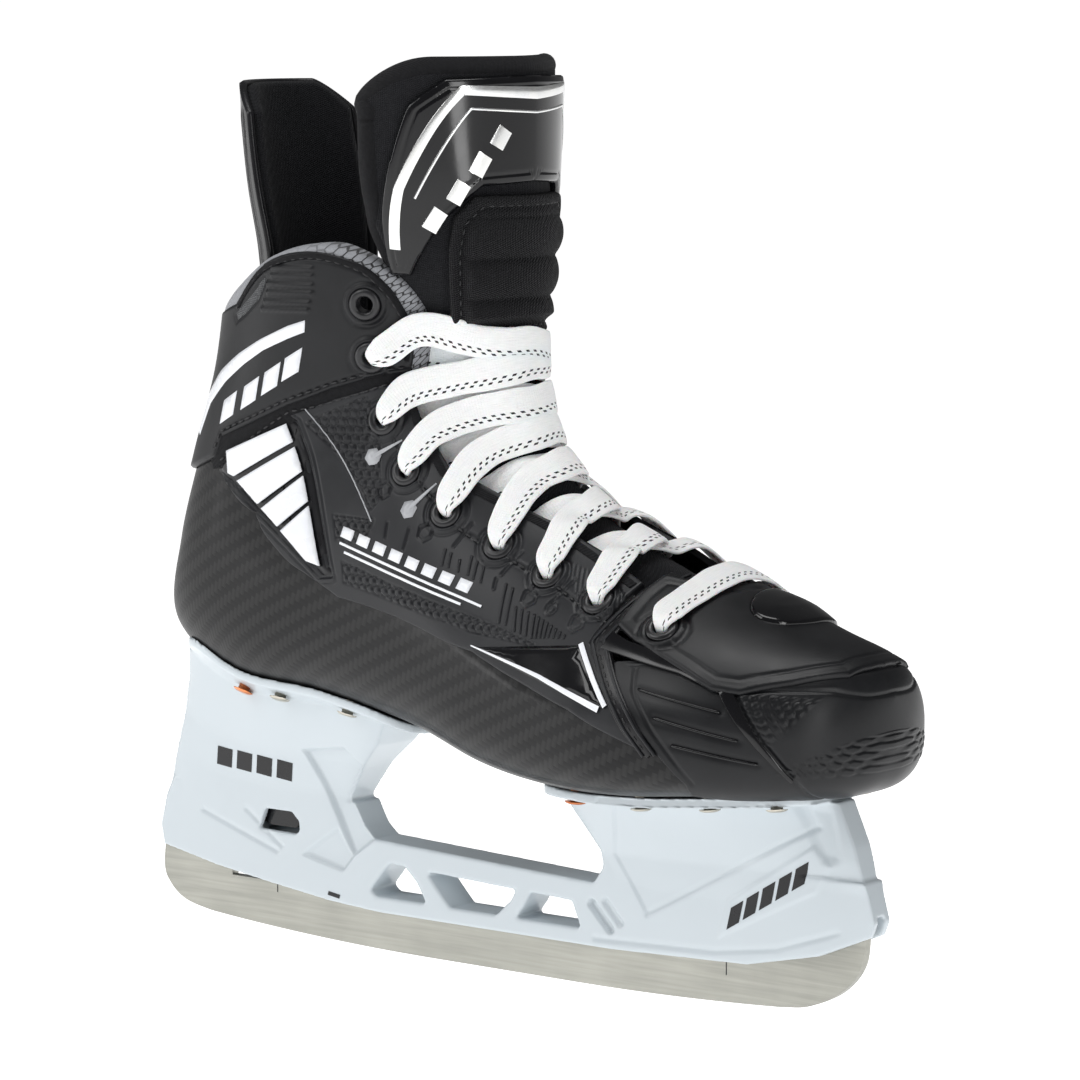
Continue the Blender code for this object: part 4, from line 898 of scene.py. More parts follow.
HOLDER_WHITE = moulded("white_nylon", (0.545, 0.600, 0.636), (0.549, 0.604, 0.640), (0.29, 0.31),
                       0.003, 900.0, Coat_Weight=0.2, Coat_Roughness=0.15)
THREAD = moulded("black_thread", (0.008, 0.008, 0.009), (0.020, 0.020, 0.022), (0.45, 0.6), 0.05, 4000.0)
RIVET_STEEL = moulded("rivet_steel", (0.50, 0.47, 0.40), (0.62, 0.58, 0.50), (0.25, 0.40),
                      0.02, 900.0, metallic=1.0)
COPPER = moulded("rivet_copper", (0.78, 0.30, 0.13), (0.62, 0.20, 0.08), (0.22, 0.40),
                 0.02, 900.0, metallic=1.0)
FLOOR = moulded("studio_floor", (0.80, 0.80, 0.80), (0.82, 0.82, 0.82), (0.6, 0.7), 0.005, 60.0,
                Emission_Color=(1.0, 1.0, 1.0, 1.0), Emission_Strength=0.92)
BLACK_FELT = woven_finish("black_felt", (0.006, 0.0062, 0.0075), (0.016, 0.0165, 0.0185), 1.3, 0.10, 0.95)
BLACK_MESH = woven_finish("black_mesh", (0.003, 0.003, 0.004), (0.014, 0.014, 0.016), 1.5, 0.35, 0.85)
BINDING = woven_finish("binding_cloth", (0.005, 0.005, 0.006), (0.013, 0.013, 0.015), 0.8, 0.12, 0.85)
MESH_GREY = woven_finish("grey_mesh", (0.06, 0.062, 0.066), (0.16, 0.165, 0.17), 1.2, 0.25, 0.6)
LACE_CORD = woven_finish("lace_tail", (0.86, 0.86, 0.85), (0.70, 0.70, 0.71), 1.1, 0.15)
CARBON, LINING, STEEL, LACE = carbon_finish(), lining_finish(), steel_finish(), lace_finish()


def part(item, slot, *nodes):
    """Hide the CAD nodes that the item stands in for, and return the item; slot is not used."""
    if nodes:
        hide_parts(*nodes)
    return item


def strip(name, surface, centre, width, out, finish, body=ROOT, slot="white_reflective_film", depth=0.5):
    """A thin flat band laid along (s, v) places; width is one number or one at each place."""
    widths = np.broadcast_to(width, len(centre))
    rows = even_line(np.column_stack([np.array(centre) * (PER_S, PER_V), widths]), 0.7)
    sv, half = rows[:, :2] / (PER_S, PER_V), rows[:, 2] / 2
    middle, normal = surface.at(*sv.T, out), surface.normal(*sv.T)
    across = unit(np.cross(normal, np.gradient(middle, axis=0)))
    shape = ((-1, -depth), (-1, -0.05), (-0.93, 0), (0, 0.03), (0.93, 0), (1, -0.05), (1, -depth))
    columns = [middle + across * (half * a)[:, None] + normal * b for a, b in shape]
    return part(add_grid(name, np.stack(columns, axis=1), finish, body), slot)


def side_strip(name, points, side, width, out, finish, **more):
    """A band that lies straight when seen from the side; width is one number or one at each point."""
    rows = dense([(*p, w) for p, w in zip(points, np.broadcast_to(width, len(points)))])
    return strip(name, boot, boot_side(rows[:, :2], side), rows[:, 2], out, finish, **more)


def film(name, points, side, layer, finish, rounds=1):
    """A thin straight-sided print on the boot."""
    item = panel(name, boot, side_patch(points, side), layer, finish, rounding=0.1, rounds=rounds)
    return part(item, "white_reflective_film")


def raised_lines(name, lines, side, out, radius, finish, slot):
    """Half-sunk round bars on the boot between pairs of side points."""
    bars = [solid_tube(side_line(dense(line, 1.5), side, out), radius, 8) for line in lines]
    part(add_mesh(name, *joined(bars), finish), slot)


# ==============================================================================================
# Boot shell, liner and footbed
# ==============================================================================================
SHELL_TOP = ((0, 0.30), (3, 0.38), (5, 0.50), (8, 0.58), (11, 0.64), (13, 0.64), (15, 0.60))
LINER_TOP = ((0.6, 0.80), (3.4, 0.72), (4.2, 0.60), (8, 0.60), (11, 0.66), (13, 0.68), (15.5, 0.60))
SKIN, COLLAR, ACCENT = (0.1, 1.7), (0.3, 2.1), (1.9, 2.9)
TOE_CAP, TOE_COVER, TOE_BADGE = (0.3, 2.4), (2.2, 3.8), (3.4, 5.8)


def symmetric(table):
    """Edges of a wall that reach equally far round both sides."""
    return lambda s: (-blend(table, s), blend(table, s))


def side_view_uv(item):
    """Lay the cloth flat on the flanks and carry it on round the heel."""
    layer = item.data.uv_layers[0]
    for loop, spot in zip(item.data.loops, layer.data):
        x, y, z = item.data.vertices[loop.vertex_index].co / MM
        round_heel = max(0.0, 36.0 - abs(y)) * min(1.0, max(0.0, (-60.0 - x) / 45.0))
        spot.uv = (x - round_heel, z)


def build_inner_boot():
    shell = wall("carbon_shell", boot, np.linspace(0, 14.4, 200), symmetric(SHELL_TOP), 120, (-2.2, 0.0),
                 CARBON, tip=True)
    side_view_uv(shell)
    part(shell, "carbon_composite", "boot_shell")

    def padding(s, v):
        top = np.clip(1 - np.abs(np.abs(v) - blend(LINER_TOP, s)) / 0.05, 0, 1)
        return 1.5 * ramp(s, 13.6, 14.6) * (1 - ramp(s, 15.1, 15.5)) + 0.4 * top

    liner = wall("padded_liner", boot, np.linspace(0.6, 15.0, 190), symmetric(LINER_TOP), 120, (-7.4, -4.1),
                 LINING, relief=padding)
    part(liner, "grey_lining_fabric", "liner")
    footbed = wall("felt_footbed", boot, np.linspace(1.6, 10.4, 90), lambda s: (-0.17, 0.17), 30,
                   (-12.2, -8.9), BLACK_FELT)
    part(footbed, "black_felt", "footbed")


# ==============================================================================================
# Quarter skins
# ==============================================================================================
SKIN_OUTLINE = [
    (-22.0, 187.6), (-15.0, 174.5), (-3.5, 161.0), (15.0, 152.6), (33.5, 145.5), (54.0, 137.2), (70.5, 130.2),
    (65.5, 113.8), (91.5, 85.5), (63.2, 95.1), (46.1, 100.0), (20.9, 108.3), (-39.3, 119.6),
    (-54.0, 126.0), (-76.0, 143.5), (-90.0, 154.5), (-91.0, 158.0), (-60.1, 176.0), (-44.1, 182.0),
    (-30.1, 186.6),
]
FACING_EDGE = [(-21.5, 184.0), (-16.3, 173.2), (-4.9, 159.6), (14.2, 150.9), (32.8, 143.8), (53.2, 135.5),
               (68.5, 129.2)]
ACCENT_FRAME = [(-92.0, 156.0), (-88.6, 162.6), (-60.5, 176.0), (-57.5, 174.0), (-41.2, 125.6),
                (-47.0, 124.8), (-75.1, 143.2)]
ACCENT_SEAM = [(-58.5, 171.5), (-43.6, 127.2)]
FACING_SEAM = [(-23.8, 169.2), (-9.5, 154.6), (5.8, 143.3), (25.2, 135.3), (46.1, 127.8), (64.5, 120.5),
               (81.1, 116.0)]
UPPER_SEAM = [(-89.6, 159.6), (-60.0, 177.2), (-29.9, 186.2), (-20.6, 188.8)]
SCALES = (
    [(-55, 174), (-34, 183), (-29, 172), (-27, 160), (-24, 152), (-28, 147), (-31, 152), (-40, 161)],
    [(-42.5, 145), (-25.8, 144.6), (-28.5, 136.7), (-40.2, 137.4)],
    [(-37, 131), (-15, 125.5), (8, 120.5), (30, 116), (52, 110.5), (40, 112.3), (20, 114), (-24, 122.5),
     (-36, 124.5)],
)
RIDGES = [(44.0, 135.0), (52.0, 132.8), (60.9, 128.8), (72, 126.3), (65.5, 121.0), (52, 127)]
HEXAGONS = ((-23.8, 153.7), (-5.2, 141.9), (37.4, 125.1), (57.6, 119.3))
ENGRAVED = (
    ((-20.2, 144), (-20.1, 139.4)), ((-11.4, 142.6), (-12.1, 136.6)), ((9.2, 144.8), (5.8, 138.3)),
    ((28.3, 137.2), (24.7, 130.9)), ((23.5, 129.6), (23.9, 126.8)), ((45.6, 124), (49.8, 130.3)),
    ((-5.2, 144.5), (-1.5, 150.5)), ((37.4, 127.7), (40.0, 133.0)),
)
# the upper and lower ends of some of the long bars: bar number, x, z; the rest lie between them
LONG_BARS = 13
BARS_TOP = ((0, 27.8, 128.3), (1, 30.6, 127.2), (2, 34.1, 122.1), (5, 41.6, 120.4), (9, 49.3, 117.8),
            (12, 55.4, 115.5))
BARS_LOW = ((0, 29.7, 117.1), (1, 32.4, 116.7), (2, 36.3, 115.1), (5, 43.4, 113.7), (9, 49.5, 114.2),
            (12, 55.2, 114.3))
SHORT_BARS = (
    ((3.4, 137.5), (3.5, 132.4)), ((5.7, 136.4), (5.9, 131.9)), ((9.2, 134.6), (9.7, 130.8)),
    ((12.8, 135.7), (13.4, 130)), ((15.2, 134.2), (15.7, 128.9)), ((18, 132.8), (18.7, 128.1)),
)
CORNER = [(22.0, 109.6), (62.4, 113.0), (77.6, 96.6), (52.0, 101.7)]


def long_bars():
    """The (upper, lower) ends of each long bar."""
    def ends(table):
        number, x, z = np.array(table).T
        bars = np.arange(LONG_BARS)
        return zip(np.interp(bars, number, x), np.interp(bars, number, z))

    return zip(ends(BARS_TOP), ends(BARS_LOW))


def eyelet_rings(p, indexes):
    """Moulded rings round the eyelets that lie in a panel."""
    height = np.zeros_like(p.x)
    for k in indexes:
        for side in (LATERAL, MEDIAL):
            centre = boot.at(*boot.from_side(*EYELETS[k], side))
            away = np.linalg.norm(np.stack([p.x, p.y, p.z], axis=-1) - centre, axis=-1)
            height += 0.75 * groove(away - 5.7, 0.75) - 0.35 * groove(away - 7.2, 0.5)
    return height


def skin_relief(p):
    """Seams, scales, ridges and engraved lines of the quarter."""
    x, z = p.x, p.z
    height = eyelet_rings(p, range(COLLAR_EYELETS, TOE_EYELET))
    height -= 0.45 * groove(line_distance(x, z, FACING_SEAM), 0.7)
    facing = [*FACING_SEAM, (81.0, 140.0), (-10.0, 200.0)]
    height += 0.28 * region(x, z, facing, 1.2)
    height -= 0.35 * groove(line_distance(x, z, UPPER_SEAM), 0.6)
    height -= 0.9 * region(x, z, ACCENT_FRAME, 0.8)
    height -= 0.3 * groove(line_distance(x, z, ACCENT_FRAME, True) - 1.4, 0.35)
    for field in SCALES:
        inside = region(x, z, field)
        cell = hexagons(x + 0.25 * z, z, 3.1)
        height += inside * (0.62 * ramp(cell, 0.05, 0.75) - 0.35)
        height -= 0.25 * groove(line_distance(x, z, field, True), 0.4)
    ridge = np.abs((x + 0.55 * z) / 1.5 % 1 - 0.5) * 2
    height += region(x, z, RIDGES) * (0.3 * ramp(ridge, 0.25, 0.75) - 0.15)
    engraved = [line_distance(x, z, hexagon_points(*centre, 2.6), True) for centre in HEXAGONS]
    engraved.append(np.hypot(x - 46.4, z - 122.5) - 1.7)
    engraved += [segment_distance(x, z, a, b) for a, b in ENGRAVED]
    for distance in engraved:
        height -= 0.55 * groove(distance, 0.42)
    height -= 0.35 * groove(line_distance(x, z, [(72.5, 112.0), (93.0, 90.0)]), 0.6)
    return height * (1 - region(x, z, CORNER, 0.8))


def build_skins():
    for side, word in SIDES:
        holes = [eyelet_hole(k, side) for k in range(COLLAR_EYELETS, TOE_EYELET)]
        skin = panel(f"{word}_skin", boot, boot_side(SKIN_OUTLINE, side), SKIN, SKIN_RUBBER, holes=holes,
                     relief=skin_relief, rounds=4)
        part(skin, "black_rubber", f"{word}_quarter_skin")
        build_accents(side, word)
        raised_lines(f"{word}_skin_bars", [*SHORT_BARS, *long_bars()], side, 1.72, 0.5, SKIN_RUBBER,
                     "black_rubber")
        build_prints(side, word)
        side_strip(f"{word}_facing_edge", FACING_EDGE, side, 2.6, 2.35, BINDING, slot="black_rubber",
                   depth=1.0)
        seams = ((UPPER_SEAM, 1.75), (FACING_SEAM, 1.85), (ACCENT_SEAM, 1.35))
        stitches(f"{word}_skin_stitches", [side_line(seam, side, out) for seam, out in seams])


HOLE_RADIUS, HOLE_SIDES = 3.7, 24


def eyelet_hole(index, side):
    """The (s, v) outline of a round hole at an eyelet."""
    s, v = boot.from_side(*EYELETS[index], side)
    centre = boot.at(s, v)
    ds, dv = (boot.at(s + 0.1, v) - centre) / 0.1, (boot.at(s, v + 0.02) - centre) / 0.02
    normal = boot.normal(s, v)
    first = unit(ds)
    second = np.cross(normal, first)
    inverse = np.linalg.inv([[ds @ first, dv @ first], [ds @ second, dv @ second]])
    angles = circle(HOLE_SIDES)
    flat = inverse @ (HOLE_RADIUS * np.stack([np.cos(angles), np.sin(angles)]))
    return [(s + a, v + b) for a, b in flat.T]


# the corners of each white segment
ACCENT_SEGMENTS = (
    [(-86.0, 155.9), (-86.0, 163.0), (-61.5, 173.3), (-59.6, 167.5), (-83.6, 155.0)],
    [(-82.3, 153.6), (-59.1, 165.9), (-56.4, 158.0), (-74.2, 146.6)],
    [(-72.6, 145.2), (-55.9, 156.5), (-53.3, 148.6), (-65.6, 139.9)],
    [(-64.0, 138.6), (-52.8, 147.1), (-46.6, 128.9), (-52.3, 130.0)],
)


def build_accents(side, word):
    for k, corners in enumerate(ACCENT_SEGMENTS, 1):
        segment = panel(f"{word}_accent_{k}", boot, side_patch(corners, side), ACCENT, WHITE_FILM,
                        rounding=0.4, rounds=2)
        part(segment, "white_reflective_film", *([f"{word}_accent_plate"] if k == 1 else []))
    frame_patch = side_patch(ACCENT_FRAME, side)
    bed = panel(f"{word}_accent_bed", boot, frame_patch, (0.2, 1.05), SATIN_BLACK, rounds=1)
    part(bed, "gloss_black_plastic")


RULES = (
    ("rule_1", [(-38.5, 136.6), (-8.0, 129.0), (21.7, 121.4)], 0.8, 2.0, WHITE_FILM),
    ("rule_2", [(-36.3, 133.9), (-10.0, 127.4), (13.8, 121.6)], 0.8, 2.0, WHITE_FILM),
    ("rule_3", [(-54.3, 178.3), (-40.0, 161.0), (-26.4, 143.9)], 0.35, 2.0, SILVER_INK),
    ("hexagon_stem_1", [(-30.1, 163.7), (-20.8, 169.1)], [1.6, 0.5], 2.12, SILVER_INK),
    ("hexagon_stem_2", [(-13.0, 148.4), (-5.8, 156.4)], [1.6, 0.5], 2.12, SILVER_INK),
    ("corner_rule_1", [(21.1, 110.0), (50.3, 103.4), (75.5, 96.2)], [0.4, 1.3, 2.0], 2.3, WHITE_FILM),
    ("corner_rule_2", [(62.6, 113.4), (77.8, 97.2)], 1.7, 2.35, WHITE_FILM),
)
PRINT = (1.2, 2.1)
QUARTER_MARKS = 8


def slanted(x, z, *steps):
    """A mark's outline from its first corner and the steps from there to the others."""
    return [(x, z), *((x + dx, z + dz) for dx, dz in steps)]


def build_prints(side, word):
    for name, points, width, out, finish in RULES:
        side_strip(f"{word}_{name}", points, side, width, out, finish, depth=0.3)
    for k, hub in enumerate(((-30.1, 163.7), (-13.0, 148.4)), 1):
        film(f"{word}_hexagon_{k}", hexagon_points(*hub, 2.9, 12), side, PRINT, SILVER_INK)
    film(f"{word}_corner", CORNER, side, PRINT, GLOSS_BLACK)
    for k in range(QUARTER_MARKS):
        outline = slanted(-38.5 + 7.0 * k, 138.6 - 1.79 * k, (4.6, -1.2), (5.6, 2.0), (1.0, 3.2))
        film(f"{word}_mark_{k + 1}", outline, side, PRINT, WHITE_FILM)


# ==============================================================================================
# Collar
# ==============================================================================================
COLLAR_HALF = [
    (-120.6, 148.6), (-92.5, 160.2), (-89.0, 167.0), (-60.1, 179.2), (-44.1, 185.3), (-30.1, 189.8),
    *rounded([(-20.6, 190.8), (-19.0, 203.2), (-20.8, 211.0), (-24.3, 218.4), (-32.5, 225.2), (-48.8, 228.2),
              (-66.8, 223.4), (-80.3, 210.5)]),
]
COLLAR_SEAM = [(-92.0, 163.5), (-88.5, 169.0), (-60.1, 181.2), (-44.1, 187.0), (-30.1, 191.4), (-21.0, 192.6)]
COLLAR_GAP = [(-95.0, 160.0), (-89.5, 162.5), (-75.0, 170.0), (-60.1, 177.6), (-44.1, 183.6),
              (-30.1, 188.0), (-21.3, 189.2)]
COLLAR_RIM = rounded([(-80.5, 208.4), (-67.0, 220.9), (-49.0, 226.0), (-33.3, 223.3), (-26.1, 217.1),
                      (-22.6, 210.2), (-20.9, 203.0), (-22.4, 193.6)])
LINING_EDGE = rounded([(-98.0, 206.5), (-79.7, 217.5), (-66.3, 225.4), (-54.7, 229.2), (-44.6, 230.6),
                       (-36.5, 230.0), (-26.7, 225.5), (-19.4, 219.2), (-15.6, 211.9), (-14.4, 203.0),
                       (-16.5, 190.0)])
COLLAR_RIBS = (
    ((-62.3, 222.4), (-47.1, 222.8)), ((-62.3, 220.0), (-47.2, 220.5)), ((-64.2, 217.3), (-47.4, 217.5)),
    ((-64.3, 214.6), (-47.6, 215.2)), ((-65.6, 211.6), (-48.8, 212.0)), ((-66.9, 209.2), (-49.5, 209.8)),
)
COLLAR_PATCH = [(-73.5, 213.2), (-65.5, 219.9), (-64.5, 218.6), (-68.5, 211.7), (-75.5, 206.5),
                (-80.5, 203.8), (-82.0, 206.8)]
COLLAR_STRIPE = [
    (-50.6, 206.6), (-57.4, 204.4), (-68.6, 199.6), (-79.0, 194.3), (-90.0, 187.6), (-99.5, 179.5),
    (-106.0, 167.0), (-102.5, 166.0), (-96.0, 176.5), (-86.3, 184.6), (-76.3, 191.2), (-67.6, 196.2),
    (-57.6, 200.4), (-51.2, 202.8),
]
COLLAR_MARKS = ((-88.9, 171.1), (-78.8, 176.5), (-69.8, 181.6), (-61.4, 186.6))
COLLAR_BACK = [(-12.0, 160.0), (12.0, 160.0), (17.0, 190.0), (9.0, 196.0), (-9.0, 196.0), (-17.0, 190.0)]
BACK_RIBS = (172.0, 177.0, 182.0)


def collar_relief(p):
    """Seams and ribs on the flanks; a panel with three ribs, placed by y and z, behind the heel."""
    x, z = p.x, p.z
    height = eyelet_rings(p, range(COLLAR_EYELETS))
    height -= 0.5 * groove(line_distance(x, z, COLLAR_SEAM), 0.6)
    height -= 0.45 * groove(line_distance(x, z, COLLAR_RIM), 0.5)
    for a, b in COLLAR_RIBS:
        height += 0.8 * ramp(1.1 - segment_distance(x, z, a, b), 0.0, 0.8)
    height -= 0.4 * region(x, z, COLLAR_PATCH, 0.8)
    border = line_distance(p.y, z, COLLAR_BACK, True)
    back = 0.7 * region(p.y, z, COLLAR_BACK, 1.4) - 0.4 * groove(border - 2.0, 0.5)
    for level in BACK_RIBS:
        back += 0.5 * ramp(1.0 - segment_distance(p.y, z, (-9.0, level), (9.0, level)), 0.0, 0.8)
    return height + back * ramp(-x, 96.0, 104.0)


def build_collar():
    lateral, medial = boot_side(COLLAR_HALF, LATERAL), boot_side(COLLAR_HALF, MEDIAL)
    outline = [(13.05, 0.0)] + medial[1:] + [(14.66, 0.10), (14.72, 0.0), (14.66, -0.10)] + lateral[:0:-1]
    holes = [eyelet_hole(k, side) for side in (MEDIAL, LATERAL) for k in range(COLLAR_EYELETS)]
    collar = panel("collar", boot, outline, COLLAR, COLLAR_RUBBER, holes=holes, relief=collar_relief,
                   rounding=1.0)
    part(collar, "black_rubber", "collar_wrap")
    for side, word in SIDES:
        strip(f"{word}_collar_underlay", boot, boot_side(COLLAR_GAP, side), 8.0, 1.3, BINDING,
              slot="black_rubber", depth=1.2)
        film(f"{word}_collar_stripe", COLLAR_STRIPE, side, (1.6, 2.25), WHITE_FILM, 2)
        for k, corner in enumerate(COLLAR_MARKS, 1):
            mark = slanted(*corner, (6.6, 3.6), (8.9, 11.4), (2.3, 7.6))
            film(f"{word}_collar_mark_{k}", mark, side, (1.6, 2.3), WHITE_FILM)
        patch = panel(f"{word}_collar_patch", boot, boot_side(COLLAR_PATCH, side), (1.2, 1.95), MESH_GREY,
                      rounds=2)
        part(patch, "grey_lining_fabric")
        build_lining_roll(side, word)
        seams = [side_line(seam, side, 2.1) for seam in (COLLAR_SEAM, COLLAR_RIM)]
        stitches(f"{word}_collar_stitches", seams)


def build_lining_roll(side, word):
    """The padded lining rolled up past the edge of the collar, with piping between them."""
    outline = [*LINING_EDGE, (-22.4, 190.0), *COLLAR_RIM[::-1][1:], (-97.0, 199.0)]
    roll = panel(f"{word}_lining_roll", boot, boot_side(outline, side), (-5.5, 1.5), LINING, rounding=3.0)
    part(roll, "grey_lining_fabric")
    piping = boot_side([(x + 0.6, z + 0.8) for x, z in COLLAR_RIM], side)
    strip(f"{word}_collar_piping", boot, piping, 1.6, 2.35, BINDING, slot="black_rubber", depth=2.0)


# ==============================================================================================
# Toe
# ==============================================================================================
TOE_CAP_REACH = ((0.38, 3.65), (0.44, 3.95), (0.58, 4.60), (0.62, 4.68), (0.67, 3.75), (1.0, 3.75))
TOE_CAP_LOW = ((0, 0.0), (1.9, 0.0), (2.1, 0.19), (2.5, 0.27), (4, 0.36))
COVER_LOW = [(73.6, 115.6), (99.3, 111.3), (114.3, 106.0), (124.2, 106.9), (138.3, 106.7), (143.1, 105.3)]
BUMPER_REAR = [(114.7, 105.2), (123.6, 93.4), (131.6, 80.6), (133.3, 74.1)]
WING_GROOVES = (((88.2, 102.7), (113.8, 97.8)), ((94.8, 95.5), (119.3, 90.3)), ((100.8, 88.1), (124.2, 83.7)))
BUMPER_SCALES = ([(117, 102.5), (136, 101.5), (126, 88)], [(128, 81), (146, 92), (143, 80)])


def toe_relief(x, z):
    """The raised bumper with its scales, and the grooves of the wings."""
    bumper = region(x, z, [*BUMPER_REAR, (150, 70), (150, 108)], 1.2)
    height = 0.55 * bumper - 0.6 * groove(line_distance(x, z, BUMPER_REAR), 0.7)
    height -= 0.5 * groove(line_distance(x, z, COVER_LOW) - 3.4, 0.5)
    for a, b in WING_GROOVES:
        height -= 0.3 * groove(segment_distance(x, z, a, b), 1.2)
    height -= 0.4 * groove(line_distance(x, z, [(84.0, 111.5), (86.5, 102.0), (106.0, 78.0)]), 0.6)
    scales = 0.40 * ramp(hexagons(x, z, 2.4), 0.05, 0.6) - 0.2
    for field in BUMPER_SCALES:
        height += region(x, z, field) * scales
    return height


WELT = [(78.0, 131.2), (73.4, 123.5), (68.6, 114.2), (80.5, 100.2), (94.0, 84.6)]
WELT_WIDTH, WELT_TIP = 5.6, 2.0
GLOSS_BAND = [(71.5, 114.6), (78.0, 113.0), (99.3, 108.9), (113.2, 104.0), (122.8, 91.6), (131.2, 79.4)]
GLOSS_WIDTHS = (6.5, 5.0, 4.6, 4.2, 2.6, 1.0)


def build_welts():
    """The stitched border between skin and toe, and the glossy band below the toe cover."""
    for side, word in SIDES:
        base = boot_side(dense(WELT), side)
        width = np.interp(np.linspace(0, 1, len(base)), (0, 0.85, 1), (WELT_WIDTH, WELT_WIDTH, WELT_TIP))
        strip(f"{word}_welt", boot, base, width, 2.75, SATIN_BLACK, slot="black_rubber", depth=2.4)
        for k, shift in enumerate((-1.9, 1.9), 1):
            rib = [(x + shift, z + 0.15 * shift) for x, z in WELT]
            side_strip(f"{word}_welt_rib_{k}", rib, side, 0.9, 3.15, SKIN_RUBBER, slot="black_rubber",
                       depth=0.8)
        stitches(f"{word}_welt_stitches", [side_line([(x - 0.5, z) for x, z in WELT], side, 2.8)])
        side_strip(f"{word}_toe_band", GLOSS_BAND, side, GLOSS_WIDTHS, 3.15, GLOSS_BLACK,
                   slot="gloss_black_plastic", depth=1.0)
        raised_lines(f"{word}_wing_lines", WING_GROOVES, side, 2.5, 0.42, GLOSS_BLACK, "gloss_black_plastic")


# half of the toe cover's outline, from its tip back to its throat
COVER_HALF = [
    (1.14, 0.90), (1.42, 0.78), (2.30, 0.672), (2.95, 0.61), (3.35, 0.605), (3.80, 0.635), (4.60, 0.68),
    (4.84, 0.70), (4.78, 0.80), (4.72, 0.868), (4.45, 0.885), (4.15, 0.93),
]
BADGE_CENTRE, BADGE_REACH = (3.36, 1.0), (0.46, 0.14)


def build_toe():
    def edges(s):
        low = blend(TOE_CAP_LOW, s)
        return low, 2 - low

    def slide(s, v):
        return s * blend(TOE_CAP_REACH, np.minimum(v, 2 - v)) / TOE_CAP_REACH[-1][1]

    def relief(s, v):
        base = boot.at(s, v)
        return toe_relief(base[..., 0], base[..., 2])

    cap = wall("toe_bumper", boot, np.linspace(0, 3.75, 190), edges, 340, TOE_CAP, TOE_RUBBER, relief=relief,
               slide=slide, tip=True)
    part(cap, "gloss_black_plastic", "toe_cap")
    outline = [(1.06, 1.0), *COVER_HALF, (4.05, 1.0), *((s, 2 - v) for s, v in COVER_HALF[::-1])]
    holes = [[(s, v % 2) for s, v in eyelet_hole(TOE_EYELET, side)] for side in (MEDIAL, LATERAL)]

    def cover_relief(p):
        return eyelet_rings(p, [TOE_EYELET]) - 0.35 * groove(p.d - 4.2, 0.5) + 0.25 * groove(p.d - 1.2, 1.0)

    cover = panel("toe_cover", boot, outline, TOE_COVER, TOE_RUBBER, holes=holes, relief=cover_relief,
                  rounding=1.2)
    part(cover, "black_rubber", "toe_top_cover")

    def dome(p):
        return -1.4 + 1.6 * np.sqrt(np.clip(p.d / 8.0, 0, 1))

    oval = [tuple(BADGE_CENTRE + np.array(BADGE_REACH) * (math.cos(a), math.sin(a))) for a in circle(48)]
    badge = panel("toe_dome", boot, oval, TOE_BADGE, GLOSS_BLACK, relief=dome, rounding=0.5)
    part(badge, "gloss_black_plastic", "toe_badge")


# ==============================================================================================
# Tongue and tendon guard
# ==============================================================================================
TONGUE_REACH = ((0, 0.42), (5, 0.50), (8, 0.56), (12, 0.60))
TONGUE_BEND = (7.85, 8.75)
TONGUE_LAYER = (-7.0, 0.0)
TONGUE_CORE = sum(TONGUE_LAYER) / 2
BINDING_EDGE = 0.595
GUARD_REACH = ((0, 0.34), (2, 0.36), (5, 0.34))


def tongue_panel(name, places, layer, finish, slot, *nodes, **more):
    return part(panel(name, tongue, tongue_front(places), layer, finish, TONGUE_TOP, **more), slot, *nodes)


def mirrored(half):
    """A closed outline from the half of it that lies at w >= 0, top to bottom."""
    return [*half, *[(-w, z) for w, z in half[::-1] if w > 0]]


def build_tongue():
    def edges(s):
        reach = blend(TONGUE_REACH, s)
        return 1 - reach, 1 + reach

    def corners(s, v):
        """Round the top corners of the tongue."""
        away = np.abs(v - 1) / 0.60
        drop = 0.95 * np.clip((away - 0.55) / 0.45, 0, 1) ** 2.2
        return s - drop * ramp(s, 9.0, 12.0)

    felt = wall("tongue_felt", tongue, np.linspace(0.1, 11.85, 230), edges, 90, TONGUE_LAYER, BLACK_FELT,
                None, slide=corners)
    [tongue.at(s, 1.0, TONGUE_CORE) * MM for s in TONGUE_BEND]
    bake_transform(felt)
    part(felt, "black_felt", "tongue_lower", "tongue_upper")

    v = np.linspace(0.40, 1.60, 120)
    top = tongue.at(corners(np.full(120, 11.95), v), v, TONGUE_CORE)
    rows = np.linspace(11.0, 8.6, 60)
    left, right = (tongue.at(rows, np.full(60, 1 + side * BINDING_EDGE), TONGUE_CORE) for side in (-1, 1))
    roll = even_line(np.vstack([left[::-1], top, right]), 1.0)
    binding = add_mesh("tongue_edge_roll", *solid_tube(roll, 3.7, 20), BINDING, TONGUE_TOP)
    part(binding, "black_felt", "tongue_binding")
    build_tongue_cover()
    build_lace_pad()


COVER_ARCH = mirrored([(0, 283), (30, 282), (41, 274), (45, 262), (45, 222), (38, 222), (30, 238), (18, 249),
                       (0, 250)])
CHEVRON = [(-43, 231), (-43, 249), (-25, 278.3), (0, 277.0), (25, 278.3), (43, 249), (43, 231)]
CHEVRON_WIDTHS = [3.6, 3.2, 3.0, 3.8, 3.0, 3.2, 3.6]
INNER_CHEVRON = [(-38.2, 246), (-22.3, 272.6), (0, 271.4), (22.3, 272.6), (38.2, 246)]


